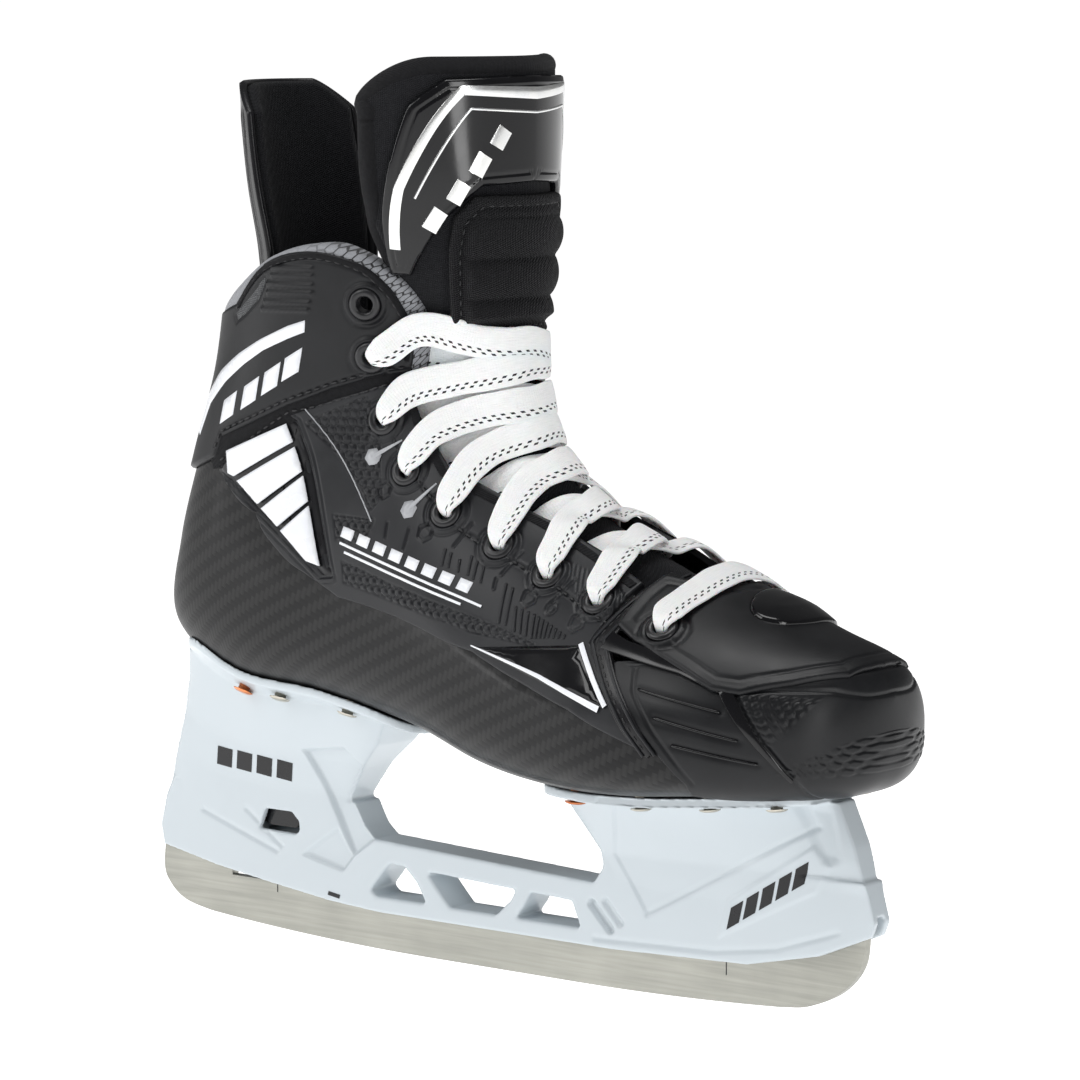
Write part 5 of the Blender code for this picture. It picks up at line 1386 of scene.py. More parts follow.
def build_tongue_cover():
    def relief(p):
        return 0.3 * ramp(p.d, 0.5, 2.5) - 0.35 * groove(p.d - 3.0, 0.4)

    tongue_panel("tongue_shield", COVER_ARCH, (0.3, 2.6), GLOSS_BLACK, "gloss_black_plastic", "tongue_cover",
                 relief=relief, rounding=1.0)
    strip("tongue_chevron", tongue, tongue_front(CHEVRON), CHEVRON_WIDTHS, 3.15, SILVER_FOIL, TONGUE_TOP)
    strip("tongue_chevron_inner", tongue, tongue_front(INNER_CHEVRON), 0.8, 3.1, SILVER_FOIL, TONGUE_TOP)
    for k in range(4):
        mark = tongue_front(slanted(-33.4 + 6.4 * k, 236.6 + 8.0 * k, (3.1, 5.6)))
        strip(f"tongue_mark_{k + 1}", tongue, mark, 5.0, 3.3, SILVER_FOIL, TONGUE_TOP)


LACE_PAD = mirrored([(0, 246), (20, 246), (26, 240), (27, 230), (24, 206), (22, 203), (0, 203)])


def build_lace_pad():
    def relief(p):
        """Padded ribs inside a stitched border."""
        rib = np.abs(np.cos((p.z - 208.0) / 12.5 * math.pi)) ** 0.7
        return 2.2 * rib * ramp(p.d, 4.0, 7.0) - 0.5 * groove(p.d - 3.4, 0.7) + 0.5 * groove(p.d - 1.6, 1.4)

    tongue_panel("tongue_pad", LACE_PAD, (0.2, 3.2), BLACK_MESH, "black_mesh_fabric", "tongue_lace_pad",
                 relief=relief, rounding=1.4)
    inset = [(w * 0.88, 225 + (z - 225) * 0.86) for w, z in (*LACE_PAD, LACE_PAD[0])]
    seam = surface_line(tongue, tongue_front(inset), 3.0)
    stitches("tongue_pad_stitches", [seam], "black_mesh_fabric", TONGUE_TOP)


def build_guard():
    def ridges(s, v):
        """Upright ribs on the outside, clear of the rim."""
        z = guard.at(s, v)[..., 2]
        away = blend(GUARD_REACH, s) - np.abs(v)
        lines = np.abs(v * guard.half_length(s) / 3.4 % 1 - 0.5) * 2
        inner = ramp(away, 0.03, 0.05) * ramp(z, 214, 220) * (1 - ramp(s, 4.2, 4.6))
        return inner * (0.5 * ramp(lines, 0.3, 0.7) - 0.2)

    def slide(s, v):
        """The top slopes down towards both front corners."""
        slope = 0.62 * np.clip((np.abs(v) - 0.20) / 0.14, 0, 1.1) ** 1.3
        return s - slope * ramp(s, 2.0, 5.0)

    shell = wall("tendon_shell", guard, np.linspace(0.0, 5.0, 120), symmetric(GUARD_REACH), 160, (-2.4, 0.0),
                 SATIN_BLACK, TENDON, relief=ridges, slide=slide)
    part(shell, "black_rubber", "tendon_guard")
    lining = wall("tendon_felt", guard, np.linspace(0.1, 4.9, 90), lambda s: (-0.325, 0.325), 80,
                  (-6.0, -2.5), BLACK_FELT, TENDON, slide=slide)
    part(lining, "black_felt", "tendon_guard_lining")


# ==============================================================================================
# Eyelets and rivets
# ==============================================================================================
def eyelet_layer(index):
    """Heights above the boot of the under and upper face of the panel that an eyelet sits in."""
    if index < COLLAR_EYELETS:
        return 0.7, 2.1
    return (2.8, 3.8) if index == TOE_EYELET else (0.5, 1.7)


def build_eyelets():
    for side, word in SIDES:
        for k in range(len(EYELETS)):
            low, high = eyelet_layer(k)
            top, bottom = high + 0.4, low - 1.1
            profile = ((2.5, bottom - 0.7), (2.5, top - 0.1), (2.65, top + 0.45), (3.1, top + 0.85),
                       (3.7, top + 0.95), (4.3, top + 0.82), (4.8, top + 0.5), (5.1, top + 0.1),
                       (4.9, top - 0.3), (3.1, top - 0.3), (3.1, bottom), (4.1, bottom - 0.1),
                       (4.2, bottom - 0.4), (3.4, bottom - 0.8), (2.5, bottom - 0.7))
            s, v = boot.from_side(*EYELETS[k], side)
            base = boot.at(s, v)
            place = frame_at(base, boot.normal(s, v), boot.at(s + 0.1, v) - base)
            eye = add_mesh(f"eye_{word}_{k + 1}", *turned(profile, 48, place), EYELET_BLACK)
            part(eye, "black_rubber", f"eyelet_{word}_{k + 1}")


FLANGE, SOLE_GAP = 3.0, 0.8
# x, distance from the middle, and how far the shank rises past the flange; the first of a row is copper
RIVETS = {
    "rear": ((-96.0, 16.0, 2.1), (-80.0, 17.0, 1.3), (-51.0, 17.0, 1.3)),
    "front": ((45.0, 22.0, 1.3), (70.0, 22.0, 1.3), (96.0, 22.0, 1.3), (121.0, 22.0, 1.3)),
}


def sole_height(x, y):
    """Height of the sole side of the boot above plan points."""
    x, y = np.broadcast_arrays(np.asarray(x, float), np.asarray(y, float))
    low, high = np.full(x.shape, 0.3), np.full(x.shape, 11.0)
    for _ in range(40):
        s = (low + high) / 2
        row = boot.station(s)
        share = np.minimum(np.abs(y - row[..., 8]) / np.maximum(row[..., 4], 1e-3), 0.999)
        t = row[..., 5] * (1 - (1 - share ** row[..., 6]) ** (1 / row[..., 6]))
        beyond = row[..., 0] + (row[..., 2] - row[..., 0]) * t > x
        low, high = np.where(beyond, s, low), np.where(beyond, high, s)
    return row[..., 1] + (row[..., 3] - row[..., 1]) * t


def build_rivet(name, x, y, rise, finish, slot):
    slope_x = (sole_height(x + 2, y) - sole_height(x - 2, y)) / 4
    slope_y = (sole_height(x, y + 2) - sole_height(x, y - 2)) / 4
    up = Vector((-slope_x, -slope_y, 1.0)).normalized()
    place = frame_at((x, y, float(sole_height(x, y))), up, (1, 0, 0))
    base, top = -(FLANGE + SOLE_GAP) - 0.5, 2.2 + rise
    profile = ((0, base - 0.9), (1.2, base - 0.87), (2.2, base - 0.75), (2.9, base - 0.5), (3.3, base - 0.2),
               (3.4, base), (1.9, base), (1.9, top), (2.5, top + 0.05), (2.6, top + 0.3), (0, top + 0.4))
    part(add_mesh(f"stud_{name}", *turned(profile, 36, place), finish), slot, f"rivet_{name}")


def build_rivets():
    for side, word in SIDES:
        for row, places in RIVETS.items():
            for k, (x, y, rise) in enumerate(places, 1):
                look = (COPPER, "copper") if k == 1 else (RIVET_STEEL, "stainless_steel")
                build_rivet(f"{row}_{word}_{k}", x, y * side, rise, *look)


# ==============================================================================================
# Blade holder, blade and release
# ==============================================================================================
RAIL_HALF, BLADE_HALF, SLOT_HALF, CHAMBER_HALF, WINDOW_HALF = 6.5, 1.5, 1.9, 4.2, 20.0
VOXEL, QUICK_VOXEL = 0.55, 0.8
HOLDER_OUTLINE = [
    (-143.2, 25.2), (-120.0, 20.8), (-95.9, 17.6), (-70.0, 14.6), (-48.6, 13.3), (45.9, 13.3), (98.4, 15.2),
    (125.0, 21.0), (142.7, 28.5), (144.5, 33.0), (141.0, 45.0), (46.0, 45.0), (43.5, 39.6), (39.2, 33.7),
    (-50.8, 37.2), (-55.0, 41.0), (-59.0, 48.0), (-139.0, 48.0), (-142.0, 42.0), (-144.5, 31.8),
]
TRUSS_HOLES = (
    [(-47.0, 27.0), (-52.5, 20.5), (-50.0, 18.6), (-29.0, 18.6), (-33.0, 25.0), (-38.0, 29.5), (-44.0, 29.8)],
    [(-29.0, 29.0), (-19.0, 18.6), (0.0, 18.6), (6.0, 24.0), (8.0, 27.6)],
    [(14.0, 27.4), (11.0, 22.5), (8.0, 18.6), (34.0, 18.6), (30.5, 26.8)],
)
# share of the way up to the flange, x of the rear and front edge, half width
REAR_TOWER = ((0.0, -142.5, -60.0, 6.5), (0.35, -138.0, -61.0, 7.0), (0.6, -132.0, -54.0, 9.0),
              (0.8, -128.0, -46.0, 12.0), (0.999, -125.5, -41.0, 15.0))
FRONT_TOWER = ((0.0, 43.0, 142.5, 6.5), (0.35, 42.0, 139.5, 7.5), (0.6, 38.0, 137.0, 10.5),
               (0.8, 35.0, 134.0, 13.5), (0.999, 33.0, 131.0, 17.0))
REAR_FLANGE, FRONT_FLANGE = (-122.5, -26.0, 23.0), (29.0, 128.5, 26.5)
PROW_HALF = 4.2
TOWER_BASE = 34.0
SLOT = [(-150.0, 5.0), (-150.0, 33.0), (-126.0, 33.0), (-126.0, 38.0), (-107.0, 38.0), (-106.0, 18.0),
        (100.0, 18.0), (103.0, 34.5), (150.0, 34.5), (150.0, 5.0)]
WINDOW = [(-100.5, 35.2), (-97.5, 42.2), (-86.0, 42.2), (-83.0, 39.5), (-83.0, 36.2), (-84.5, 35.0)]
CHAMBER = [(-126.0, 24.0), (-126.0, 53.0), (-111.5, 55.0), (-111.5, 58.6), (-102.5, 58.6), (-102.5, 53.0),
           (-84.0, 51.0), (-81.0, 47.0), (-81.0, 34.0), (-105.0, 33.5), (-107.0, 26.0), (-107.5, 16.0),
           (-126.0, 16.0)]


def evaluated(item):
    """A new mesh of an object as its modifiers or curve make it."""
    bpy.context.view_layer.update()
    return bpy.data.meshes.new_from_object(item.evaluated_get(bpy.context.evaluated_depsgraph_get()))


def plate(name, outline, half, holes=(), bevel=0.0):
    """A flat outline in the XZ plane, thickened to both sides of y = 0, as a plain mesh."""
    curve = bpy.data.curves.new(name, "CURVE")
    curve.dimensions, curve.fill_mode = "2D", "BOTH"
    curve.extrude = (half - bevel) * MM
    curve.bevel_depth, curve.offset, curve.bevel_resolution = bevel * MM, -bevel * MM, 3
    for loop in (outline, *holes):
        line = curve.splines.new("POLY")
        line.points.add(len(loop) - 1)
        line.use_cyclic_u = True
        line.points.foreach_set("co", [c for x, z in loop for c in (x * MM, z * MM, 0.0, 1.0)])
    guide = add_object(name + "_curve", curve, None)
    mesh = evaluated(guide)
    mesh.transform(Matrix.Rotation(math.pi / 2, 4, "X"))
    bpy.data.objects.remove(guide)
    cleaned(mesh)
    mesh.materials.clear()
    return add_object(name, mesh, None)


def tower(name, rows, flange, prow=False):
    """A leg that flares up to a flange whose top follows the sole; a prow narrows to its front edge."""
    columns, across, levels = 60, 18, 24
    table = np.array(rows)
    u = np.linspace(0, 1, columns + 1)[:, None]
    w = np.linspace(-1, 1, across + 1)[None]

    def layer(x0, x1, half, corner, height, edge=None):
        x = np.repeat(x0 + (x1 - x0) * u, across + 1, axis=1)
        reach = half * (1 - corner * np.abs(2 * u - 1) ** 10)
        if edge:
            reach = reach + (edge - reach) * np.clip((u - 0.52) / 0.48, 0, 1) ** 1.7
        return np.stack([x, w * reach, height(x, w * reach)], axis=-1)

    def lip_low(x, y):
        return sole_height(x, y) - SOLE_GAP - FLANGE

    layers = []
    for share in np.linspace(0, 1, levels + 1):
        x0, x1, half = (np.interp(share, table[:, 0], table[:, k]) for k in (1, 2, 3))
        layers.append(layer(x0, x1, half, 0.18, lambda x, y: TOWER_BASE + (lip_low(x, y) - TOWER_BASE) * share,
                            PROW_HALF if prow else None))
    layers += [layer(*flange, 0.34, lambda x, y: lip_low(x, y) + rise) for rise in (0.0, FLANGE)]
    count = (columns + 1) * (across + 1)
    index = np.arange(count).reshape(columns + 1, across + 1)
    cap = grid_faces(index)
    rim = np.concatenate([index[:-1, 0], index[-1, :-1], index[:0:-1, -1], index[0, :0:-1]])
    faces = [cap, cap[:, ::-1] + count * (len(layers) - 1)]
    for k in range(len(layers) - 1):
        low, high = rim + k * count, rim + (k + 1) * count
        faces.append(np.stack([low, np.roll(low, -1), np.roll(high, -1), high], axis=1))
    bm = bmesh.new()
    made = [bm.verts.new(Vector(p) * MM) for p in np.concatenate([g.reshape(-1, 3) for g in layers])]
    for face in np.concatenate(faces):
        bm.faces.new([made[k] for k in face])
    bmesh.ops.delete(bm, geom=[v for v in bm.verts if not v.link_faces], context="VERTS")
    bmesh.ops.recalc_face_normals(bm, faces=bm.faces)
    mesh = bpy.data.meshes.new(name)
    bm.to_mesh(mesh)
    bm.free()
    return add_object(name, mesh, None)


CREASE = [(60.3, 26.2), (125.5, 60.4), (120.0, 72.0), (60.0, 74.0), (48.0, 44.0)]
# depth of a fine groove and its line
HOLDER_GROOVES = (
    (0.5, [(-125.0, 38.8), (-92.5, 28.6)]),
    (0.5, [(-105.8, 41.2), (-90.5, 30.4)]),
    (0.5, [(40.0, 16.2), (55.4, 16.8), (86.0, 17.9), (109.8, 21.5), (132.0, 29.0)]),
    (0.45, CREASE[:2]),
)
# rise of a facet, width of its edge and its outline
HOLDER_FACETS = (
    (-1.5, 1.6, [(-78.0, 63.6), (-72.2, 54.9), (-59.6, 30.8), (-50.8, 37.2), (-58.0, 46.0), (-61.5, 50.0),
                 (-54.0, 60.0), (-60.0, 66.0)]),
    (-1.1, 1.4, [(-80.9, 28.9), (-66.4, 38.9), (-59.9, 30.2), (-64.0, 25.5)]),
    (-0.55, 1.2, CREASE),
    (0.5, 1.6, [(88.0, 22.5), (92.0, 34.5), (124.0, 54.5), (129.5, 48.5), (124.5, 40.5)]),
    (-0.9, 4.0, [(118.0, 68.0), (131.0, 66.0), (134.0, 50.0), (127.0, 50.5), (123.0, 58.0)]),
)
# depth of a slot, half its width and its two ends
HOLDER_SLOTS = ((1.6, 1.7, (38.6, 27.0), (46.0, 19.6)), (0.9, 1.5, (44.0, 28.2), (50.0, 22.0)))


def holder_relief(x, z):
    """Raised and sunk work on the flanks of the holder."""
    return (sum(rise * region(x, z, outline, soft) for rise, soft, outline in HOLDER_FACETS)
            - sum(depth * groove(line_distance(x, z, line), 0.8) for depth, line in HOLDER_GROOVES)
            - sum(depth * ramp(half - segment_distance(x, z, *ends), 0, 0.9)
                  for depth, half, *ends in HOLDER_SLOTS))


def build_holder():
    body = plate("holder_blank", HOLDER_OUTLINE, RAIL_HALF, TRUSS_HOLES)
    others = [(tower("rear_leg", REAR_TOWER, REAR_FLANGE), "UNION"),
              (tower("front_leg", FRONT_TOWER, FRONT_FLANGE, True), "UNION"),
              (plate("slot_cut", SLOT, SLOT_HALF), "DIFFERENCE"),
              (plate("chamber_cut", CHAMBER, CHAMBER_HALF), "DIFFERENCE"),
              (plate("window_cut", WINDOW, WINDOW_HALF), "DIFFERENCE")]
    for other, operation in others:
        mod = body.modifiers.new(other.name, "BOOLEAN")
        mod.operation, mod.object = operation, other
    mod = body.modifiers.new("even", "REMESH")
    mod.mode, mod.voxel_size = "VOXEL", VOXEL * MM
    mod = body.modifiers.new("soften", "SMOOTH")
    mod.factor, mod.iterations = 0.5, 3
    mesh = evaluated(body)
    for item in (body, *(other for other, _ in others)):
        bpy.data.objects.remove(item)
    count = len(mesh.vertices)
    points, normals = np.zeros(count * 3), np.zeros(count * 3)
    mesh.vertices.foreach_get("co", points)
    mesh.vertices.foreach_get("normal", normals)
    points, normals = points.reshape(-1, 3) / MM, normals.reshape(-1, 3)
    nose = 0.56 * ramp(points[:, 0], 112.0, 144.0) ** 1.5 * (1 - ramp(points[:, 2], 40.0, 52.0))
    spare = np.maximum(np.abs(points[:, 1]) - SLOT_HALF - 0.4, 0.0)
    points[:, 1] -= np.sign(points[:, 1]) * spare * nose
    flank = ramp(np.abs(normals[:, 1]), 0.55, 0.8) * ramp(np.abs(points[:, 1]), 4.8, 5.6)
    points += normals * (holder_relief(points[:, 0], points[:, 2]) * flank)[:, None]
    mesh.vertices.foreach_set("co", (points * MM).ravel())
    mesh.materials.clear()
    mesh.materials.append(HOLDER_WHITE)
    mesh.shade_smooth()
    holder = add_object("runner_holder", mesh)
    part(holder, "white_nylon", "blade_holder")
    build_holder_prints(holder)


BLADE_TOE = [(118.0, 4.0), (128.0, 8.3), (134.5, 13.6), (138.2, 19.5), (139.3, 26.0), (139.3, 30.5)]
BLADE_TOP = [(126.0, 31.0), (104.0, 31.0), (101.0, 17.2), (-116.8, 17.2), (-116.8, 29.8), (-113.5, 29.8),
             (-113.5, 34.0), (-120.0, 34.0), (-124.0, 30.0)]
BLADE_HEEL = [(-146.5, 29.0), (-147.5, 16.5), (-144.2, 10.5), (-138.0, 6.4), (-128.0, 4.2)]
ROCKER_FLAT, ROCKER_RISE = 30.0, 0.00042
LINE_WIDTH, LINE_HALF = 0.35, 0.04


def build_blade():
    x = np.linspace(-118.0, 108.0, 120)
    rocker = list(zip(x, ROCKER_RISE * np.maximum(0.0, np.abs(x) - ROCKER_FLAT) ** 2))
    toe = rounded([rocker[-1], *BLADE_TOE], 8)[1:]
    heel = rounded([*BLADE_HEEL, rocker[0]], 8)[:-1]
    item = plate("runner_steel", [*rocker, *toe, *BLADE_TOP, *heel], BLADE_HALF, (), 0.15)
    item.data.materials.append(STEEL)
    item.data.shade_smooth()
    item.data.set_sharp_from_angle(angle=math.radians(30))
    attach(item, RUNNER)
    part(item, "stainless_steel", "blade")
    for side, word in SIDES:
        for k, (x, low, high) in enumerate(((-97.0, 13.6, 17.0), (87.2, 9.8, 14.0)), 1):
            outline = [(x, low), (x + LINE_WIDTH, low), (x + LINE_WIDTH, high), (x, high)]
            mark = plate(f"runner_line_{word}_{k}", outline, LINE_HALF)
            mark.data.transform(Matrix.Translation((0, side * (BLADE_HALF + LINE_HALF / 2) * MM, 0)))
            mark.data.materials.append(SATIN_BLACK)
            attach(mark, RUNNER)
            part(mark, "stainless_steel")


HEEL_MARKS, TOE_MARKS, DECAL_OUT = 4, 5, 0.10


def decal(name, tree, corners, side):
    """A printed quadrilateral laid on the flank of the holder; corners run round it in XZ."""
    a, b, c, d = np.array(corners, float)
    columns, rows = 14, 10
    grid = np.zeros((rows + 1, columns + 1, 3))
    for i, f in enumerate(np.linspace(0, 1, rows + 1)):
        for j, g in enumerate(np.linspace(0, 1, columns + 1)):
            x, z = (a * (1 - g) + b * g) * (1 - f) + (d * (1 - g) + c * g) * f
            hit = tree.ray_cast(Vector((x * MM, side * 0.08, z * MM)), Vector((0, -side, 0)))[0]
            grid[i, j] = (x, hit.y / MM + side * DECAL_OUT, z)
    part(add_grid(name, grid, SATIN_BLACK), "gloss_black_plastic")


def build_holder_prints(holder):
    faces = [p.vertices for p in holder.data.polygons]
    tree = BVHTree.FromPolygons([v.co for v in holder.data.vertices], faces)
    for side, word in SIDES:
        for k in range(HEEL_MARKS):
            corners = slanted(-118.0 + 8.8 * k, 54.9 - 0.6 * k, (6.6, -0.7), (8.0, 5.6), (1.4, 6.3))
            decal(f"{word}_heel_mark_{k + 1}", tree, corners, side)
        for k in range(TOE_MARKS):
            corners = slanted(91.5 + 6.1 * k, 25.3 + 3.7 * k, (4.7, 2.8), (6.4, 9.8), (1.7, 7.0))
            decal(f"{word}_toe_mark_{k + 1}", tree, corners, side)
        decal(f"{word}_rail_slot", tree, slanted(-70.5, 16.6, (5.0, -0.7), (5.4, 0.6), (0.4, 1.3)), side)


def finish_node(name, finish, bevel):
    """Keep a CAD node as it is, with its own material and softened edges."""
    node = bpy.data.objects[name]
    node.data.materials.clear()
    node.data.materials.append(finish)
    mod = node.modifiers.new("softened", "BEVEL")
    mod.width, mod.segments, mod.limit_method = bevel * MM, 3, "ANGLE"
    mod.angle_limit = math.radians(40)


def build_spring():
    """The coil that holds the trigger down, built at one length; the trigger presses the real coil shorter as
    it lifts.
    """
    turn = np.linspace(0, 7 * math.tau, 320)
    rise = np.clip((turn / turn[-1] - 0.08) / 0.84, 0, 1)
    line = np.stack([-107.0 + 2.5 * np.cos(turn), 2.5 * np.sin(turn), 49.85 + 7.98 * rise], axis=1)
    coil = add_mesh("release_coil", *solid_tube(line, 0.35, 10), STEEL)
    part(coil, "stainless_steel", "trigger_spring")
    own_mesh(coil)


# ==============================================================================================
# Lace
# ==============================================================================================
LACE_WIDTH, LACE_THICK, BORE_WIDTH, LACE_LEAN = 10.8, 1.5, 4.0, 0.12
TOE_BAR_ROW = 4.22
THROAT_EDGE = ((4.2, 0.88), (4.8, 0.875), (6.3, 0.875), (7.2, 0.865), (8.4, 0.83), (9.8, 0.82),
               (11.4, 0.83), (13.5, 0.84))
SHOULDER, INSIDE_DROP, TUCK, TOP_TUCK = 0.34, 3.2, 0.30, 0.9
OVER, UNDER = 4.9, 2.5
TONGUE_ROWS = np.linspace(1.0, 9.0, 81)
TONGUE_LINE = tongue.at(TONGUE_ROWS, np.ones(81))


class Facing:
    """One eyelet's surroundings on its side."""

    def __init__(self, index, side):
        self.side = side
        self.s, v = boot.from_side(*EYELETS[index], side)
        self.v = abs(v)
        self.low, self.high = eyelet_layer(index)
        edge = float(blend(THROAT_EDGE, self.s))
        self.reach = np.linalg.norm(boot.at(self.s, side * edge) - boot.at(self.s, side * self.v))
        self.per_mm = (edge - self.v) / self.reach

    def place(self, toward_throat, out, shift=0.0):
        """Position and normal so many millimetres from the eyelet towards the throat."""
        s, v = self.s + shift, self.side * (self.v + toward_throat * self.per_mm)
        return boot.at(s, v, out), boot.normal(s, v)

    def toward(self):
        return unit(self.place(3.0, 0.0)[0] - self.place(0.0, 0.0)[0])


def tongue_spot(base, out):
    """The place on the tongue that lies in front of a point, and its normal."""
    q = TONGUE_ROWS[np.argmin(np.linalg.norm(TONGUE_LINE - (base[0], 0, base[2]), axis=1))]
    low, high = 1 - SHOULDER, 1 + SHOULDER
    for _ in range(20):
        v = (low + high) / 2
        low, high = (v, high) if tongue.at(q, v)[1] > base[1] else (low, v)
    return tongue.at(q, v, out), tongue.normal(q, v)


def through_eyelet(spot, flip, rise=0.0):
    """Stops from the inside of an eyelet out through it; rise is how many rows on the lace is bound for."""
    toward = spot.toward()
    low, high = spot.low, spot.high
    stops = []
    # millimetres towards the throat, height, width, and quarter turns from flat
    for along, out, width, lean in ((5.0, low - 3.0, 6.0, 0.0), (0.9, low - 2.5, BORE_WIDTH, 0.6),
                                    (0.0, low - 0.6, BORE_WIDTH, 1.0), (0.0, high + 0.4, BORE_WIDTH, 1.0),
                                    (0.9, high + 2.1, 5.8, 1.4), (3.0, high + 3.0, 8.4, 1.9),
                                    (6.5, high + 2.6, 10.0, 2.0)):
        shift = LACE_LEAN * rise * along / spot.reach if out > high + 1 else 0.0
        place, normal = spot.place(along, out, shift)
        turn = lean * math.pi / 2
        stops.append((place, (normal * math.cos(turn) + toward * math.sin(turn)) * flip, width))
    return stops


def crossing(spot, target, up_out, flip, tuck=TUCK):
    """Stops from one facing over the tongue to below the other."""
    rise = target.s - spot.s or 1.0
    start, normal = spot.place(spot.reach, spot.high + 1.8, LACE_LEAN * rise)
    stops = [(start, normal * flip, LACE_WIDTH)]
    far, far_normal = target.place(target.reach - 3.8, target.low - INSIDE_DROP, -tuck * rise)
    for share in (0.25, 0.38, 0.5, 0.62, 0.75):
        lift = up_out if 0.3 < share < 0.7 else (up_out + UNDER) / 2
        place, normal = tongue_spot(start + (far - start) * share, lift)
        stops.append((place, normal * flip, LACE_WIDTH))
    stops.append((far, far_normal * flip, LACE_WIDTH))
    place, normal = target.place(9.0, target.low - INSIDE_DROP - 0.4, -tuck * rise / 2)
    stops.append((place, normal * flip, 7.0))
    return stops


def lace_half(side):
    """Stops of half the lace, from the middle of the toe bar to its tuck at the top."""
    stops = [(boot.at(TOE_BAR_ROW, side * v, 5.4), boot.normal(TOE_BAR_ROW, side * v), LACE_WIDTH)
             for v in (1.0, 0.94, 0.90)]
    stops += through_eyelet(Facing(TOE_EYELET, side), -1)[::-1]
    stops.append((*Facing(TOE_EYELET - 1, side).place(6.0, -2.5, -0.45), 7.0))
    flip = 1
    for index in range(TOE_EYELET - 1, COLLAR_EYELETS - 1, -1):
        spot = Facing(index, side)
        stops += through_eyelet(spot, flip, Facing(index - 1, -side).s - spot.s)
        flip = -flip
        stops += crossing(spot, Facing(index - 1, -side), OVER if side == LATERAL else UNDER, flip)
        side = -side
    spot = Facing(COLLAR_EYELETS - 1, side)
    stops += through_eyelet(spot, flip)
    flip = -flip
    end = Facing(COLLAR_EYELETS - 1, -side)
    return stops + crossing(spot, end, OVER if side == LATERAL else UNDER, flip, TOP_TUCK)[:-1]


LACE_STEP, CALM_REACH, CALM_SIGMA = 0.5, 20, 2.6


def lace_line():
    """Position, width direction and width at even steps, with the free stretches made calmer."""
    stops = lace_half(LATERAL)[::-1] + lace_half(MEDIAL)[1:]
    line = even_line(smooth_line([[*p, *n, w] for p, n, w in stops], 14), LACE_STEP)
    window = np.exp(-0.5 * (np.arange(-CALM_REACH, CALM_REACH + 1) * LACE_STEP / CALM_SIGMA) ** 2)
    padded = np.pad(line, ((CALM_REACH, CALM_REACH), (0, 0)), "edge")
    calm = np.stack([np.convolve(column, window / window.sum(), "valid") for column in padded.T], axis=1)
    line[:, :6] += (calm[:, :6] - line[:, :6]) * ramp(line[:, 6:], 6.5, 9.5)
    return line[:, :3], line[:, 3:6], line[:, 6]


def power_circle(values, power):
    """Cosines or sines flattened into a rounded rectangle."""
    return np.sign(values) * np.abs(values) ** power


def build_lace():
    points, normals, widths = lace_line()
    ahead = unit(np.gradient(points, axis=0))
    across = unit(np.cross(normals, ahead))
    up = np.cross(ahead, across)
    at = travelled(points)[:, None]
    angles = circle(28)
    side, lift = power_circle(np.cos(angles), 0.7), power_circle(np.sin(angles), 0.6)
    thick = LACE_THICK * (1 + 0.6 * np.clip((LACE_WIDTH - widths) / (LACE_WIDTH - BORE_WIDTH), 0, 1))
    wander = 0.10 * np.sin(at / 3.7) + 0.08 * np.sin(at / 1.9 + 1.3)
    sag = 0.12 * np.sin(at / 6.1 + 2.0 * side) * np.abs(side)
    grid = (points[:, None] + across[:, None] * ((widths[:, None] / 2 + wander) * side)[..., None]
            + up[:, None] * (thick[:, None] / 2 * lift + sag)[..., None])
    uv = np.stack(np.broadcast_arrays((1 - side) / 2, at), axis=-1)
    part(add_grid("lace_braid", grid, LACE, ROOT, uv), "white_waxed_polyester", "lace")


TAIL_R, TAIL_LENGTH, TAIL_STEP = 1.6, 0.45, 1.5
TAIL_ROUTE = ((-25.0, -18.6, 184.0), (-31.0, -18.0, 176.0), (-37.5, -18.0, 164.0), (-42.0, -17.0, 148.0),
              (-46.0, -15.5, 132.0), (-48.5, -12.5, 118.0), (-49.5, -10.0, 111.0))
HANK_CENTRE, HANK_SLOPE = (-48.0, 101.2), 0.15
HANK_STRAIGHT, HANK_RADIUS, HANK_SHRINK = 33.0, 12.6, 3.6
STEPS_PER_TURN = 60


def hank_turns(side, level):
    """A flat stadium spiral, one turn outside and the rest inside it."""
    tilt = math.atan(HANK_SLOPE)
    turns = np.arange(200) / STEPS_PER_TURN
    radius = HANK_RADIUS - HANK_SHRINK * turns
    cos = np.cos(math.tau * turns)
    x = HANK_STRAIGHT * np.clip(cos * 1.6, -1, 1) + radius * cos
    return np.stack([HANK_CENTRE[0] + x * math.cos(tilt) + level * math.sin(tilt),
                     radius * np.sin(math.tau * turns) * side,
                     HANK_CENTRE[1] - x * math.sin(tilt) + level * math.cos(tilt)], axis=1)


def build_tails():
    for side, word, level, nodes in ((LATERAL, "lateral", 2.1, ("lace_tail_lateral", "lace_hank")),
                                     (MEDIAL, "medial", -2.1, ("lace_tail_medial",))):
        drop = smooth_line([(x, -side * y, z) for x, y, z in TAIL_ROUTE], 10)
        line = even_line(np.vstack([drop, hank_turns(-side, level)]), TAIL_STEP)
        line = line[:int(TAIL_LENGTH / MM / TAIL_STEP) + 1]
        curve = bpy.data.curves.new(f"tail_{word}", "CURVE")
        curve.dimensions, curve.use_fill_caps = "3D", True
        curve.bevel_depth, curve.bevel_resolution = TAIL_R * MM, 3
        run = curve.splines.new("POLY")
        run.points.add(len(line) - 1)
        run.points.foreach_set("co", [c for p in line for c in (*(p * MM), 1.0)])
        curve.materials.append(LACE_CORD)
        item = add_object(f"tail_{word}", curve)
        part(item, "white_waxed_polyester", *nodes)


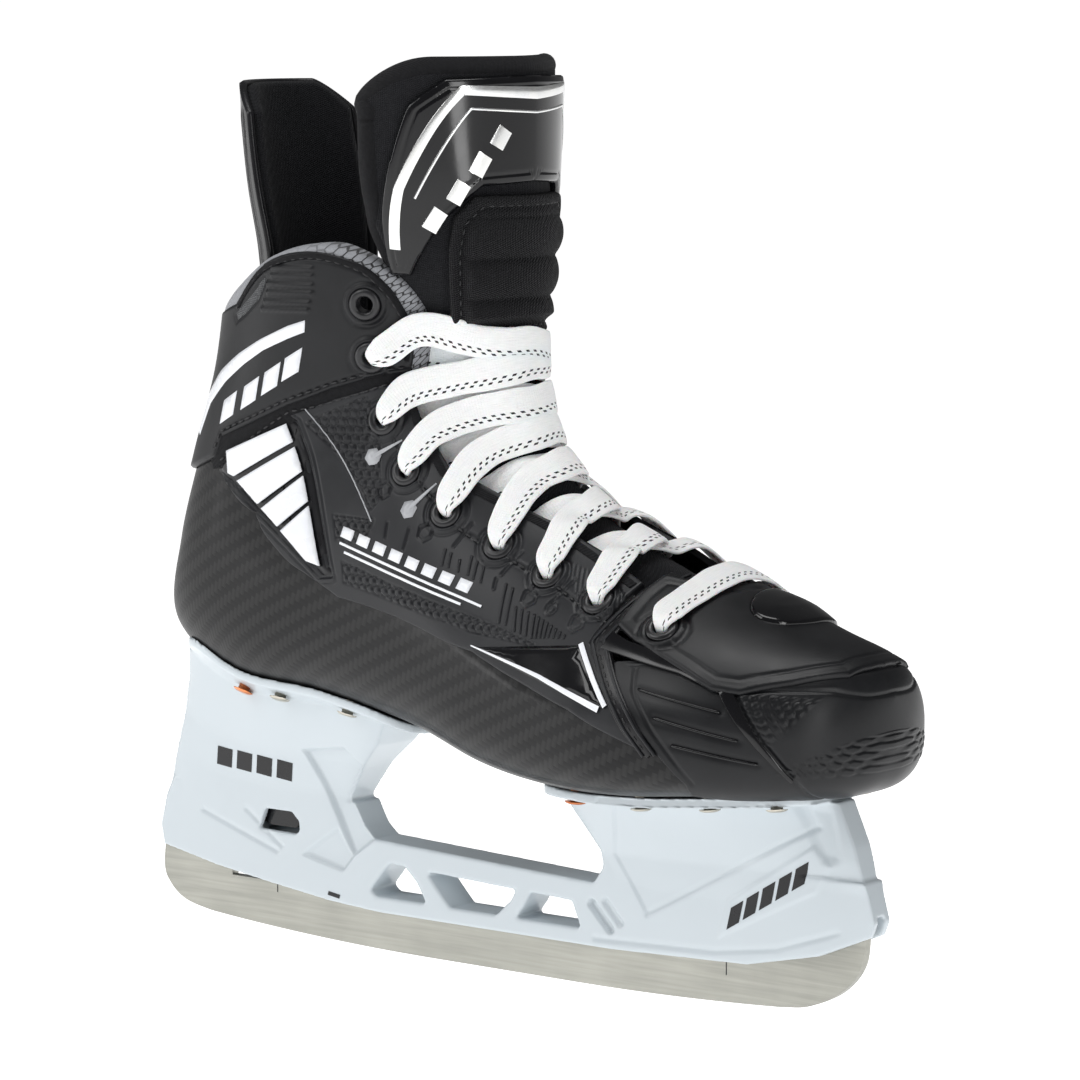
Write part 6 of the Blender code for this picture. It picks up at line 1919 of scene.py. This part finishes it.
# ==============================================================================================
# Build, light and finish
# ==============================================================================================
def area_light(name, place, size, power):
    light = bpy.data.lights.new(name, "AREA")
    light.shape, light.size, light.size_y = "RECTANGLE", *size
    light.energy = power
    item = add_object(name, light, None)
    item.location = place
    item.rotation_euler = (Vector(LIGHT_AIM) - Vector(place)).to_track_quat("-Z", "Y").to_euler()


FLOOR_LEVEL, FLOOR_HALF = -0.045, 30  # below the reach of the runner when it is let down
LIGHT_AIM = (0.0, 0.0, 0.13)
WORLD_LIGHT, WORLD_SEEN = 0.14, 1.0


def build_room():
    mesh = bpy.data.meshes.new("floor")
    corners = [(x * FLOOR_HALF, y * FLOOR_HALF, 0) for x, y in ((-1, -1), (1, -1), (1, 1), (-1, 1))]
    mesh.from_pydata(corners, [], [(0, 1, 2, 3)])
    mesh.materials.append(FLOOR)
    floor = add_object("floor", mesh, None)
    floor.location.z = FLOOR_LEVEL
    world = bpy.data.worlds.new("studio")
    bpy.context.scene.world = world
    world.use_nodes = True
    nodes, links = world.node_tree.nodes, world.node_tree.links
    nodes["Background"].inputs["Color"].default_value = (1.0, 1.0, 1.0, 1.0)
    seen = nodes.new("ShaderNodeLightPath")
    level = nodes.new("ShaderNodeMapRange")
    level.inputs["To Min"].default_value, level.inputs["To Max"].default_value = WORLD_LIGHT, WORLD_SEEN
    links.new(seen.outputs["Is Camera Ray"], level.inputs["Value"])
    links.new(level.outputs[0], nodes["Background"].inputs["Strength"])
    area_light("key", (-0.6, -1.4, 1.3), (0.9, 0.9), 11.0)
    area_light("top", (0.1, -0.1, 1.6), (1.0, 0.6), 10.0)
    area_light("right_strip", (1.6, -0.6, 0.5), (0.25, 1.2), 6.0)
    area_light("left_strip", (-1.3, -0.9, 0.35), (0.25, 1.2), 5.0)
    view_settings = bpy.context.scene.view_settings
    view_settings.view_transform, view_settings.look = "Standard", "None"


build_inner_boot()
build_skins()
build_collar()
build_toe()
build_welts()
build_tongue()
build_guard()
build_eyelets()
build_rivets()
build_holder()
build_blade()
finish_node("release_trigger", GLOSS_BLACK, 0.3)
finish_node("trigger_pin", STEEL, 0.15)
build_spring()
build_lace()
build_tails()
build_room()
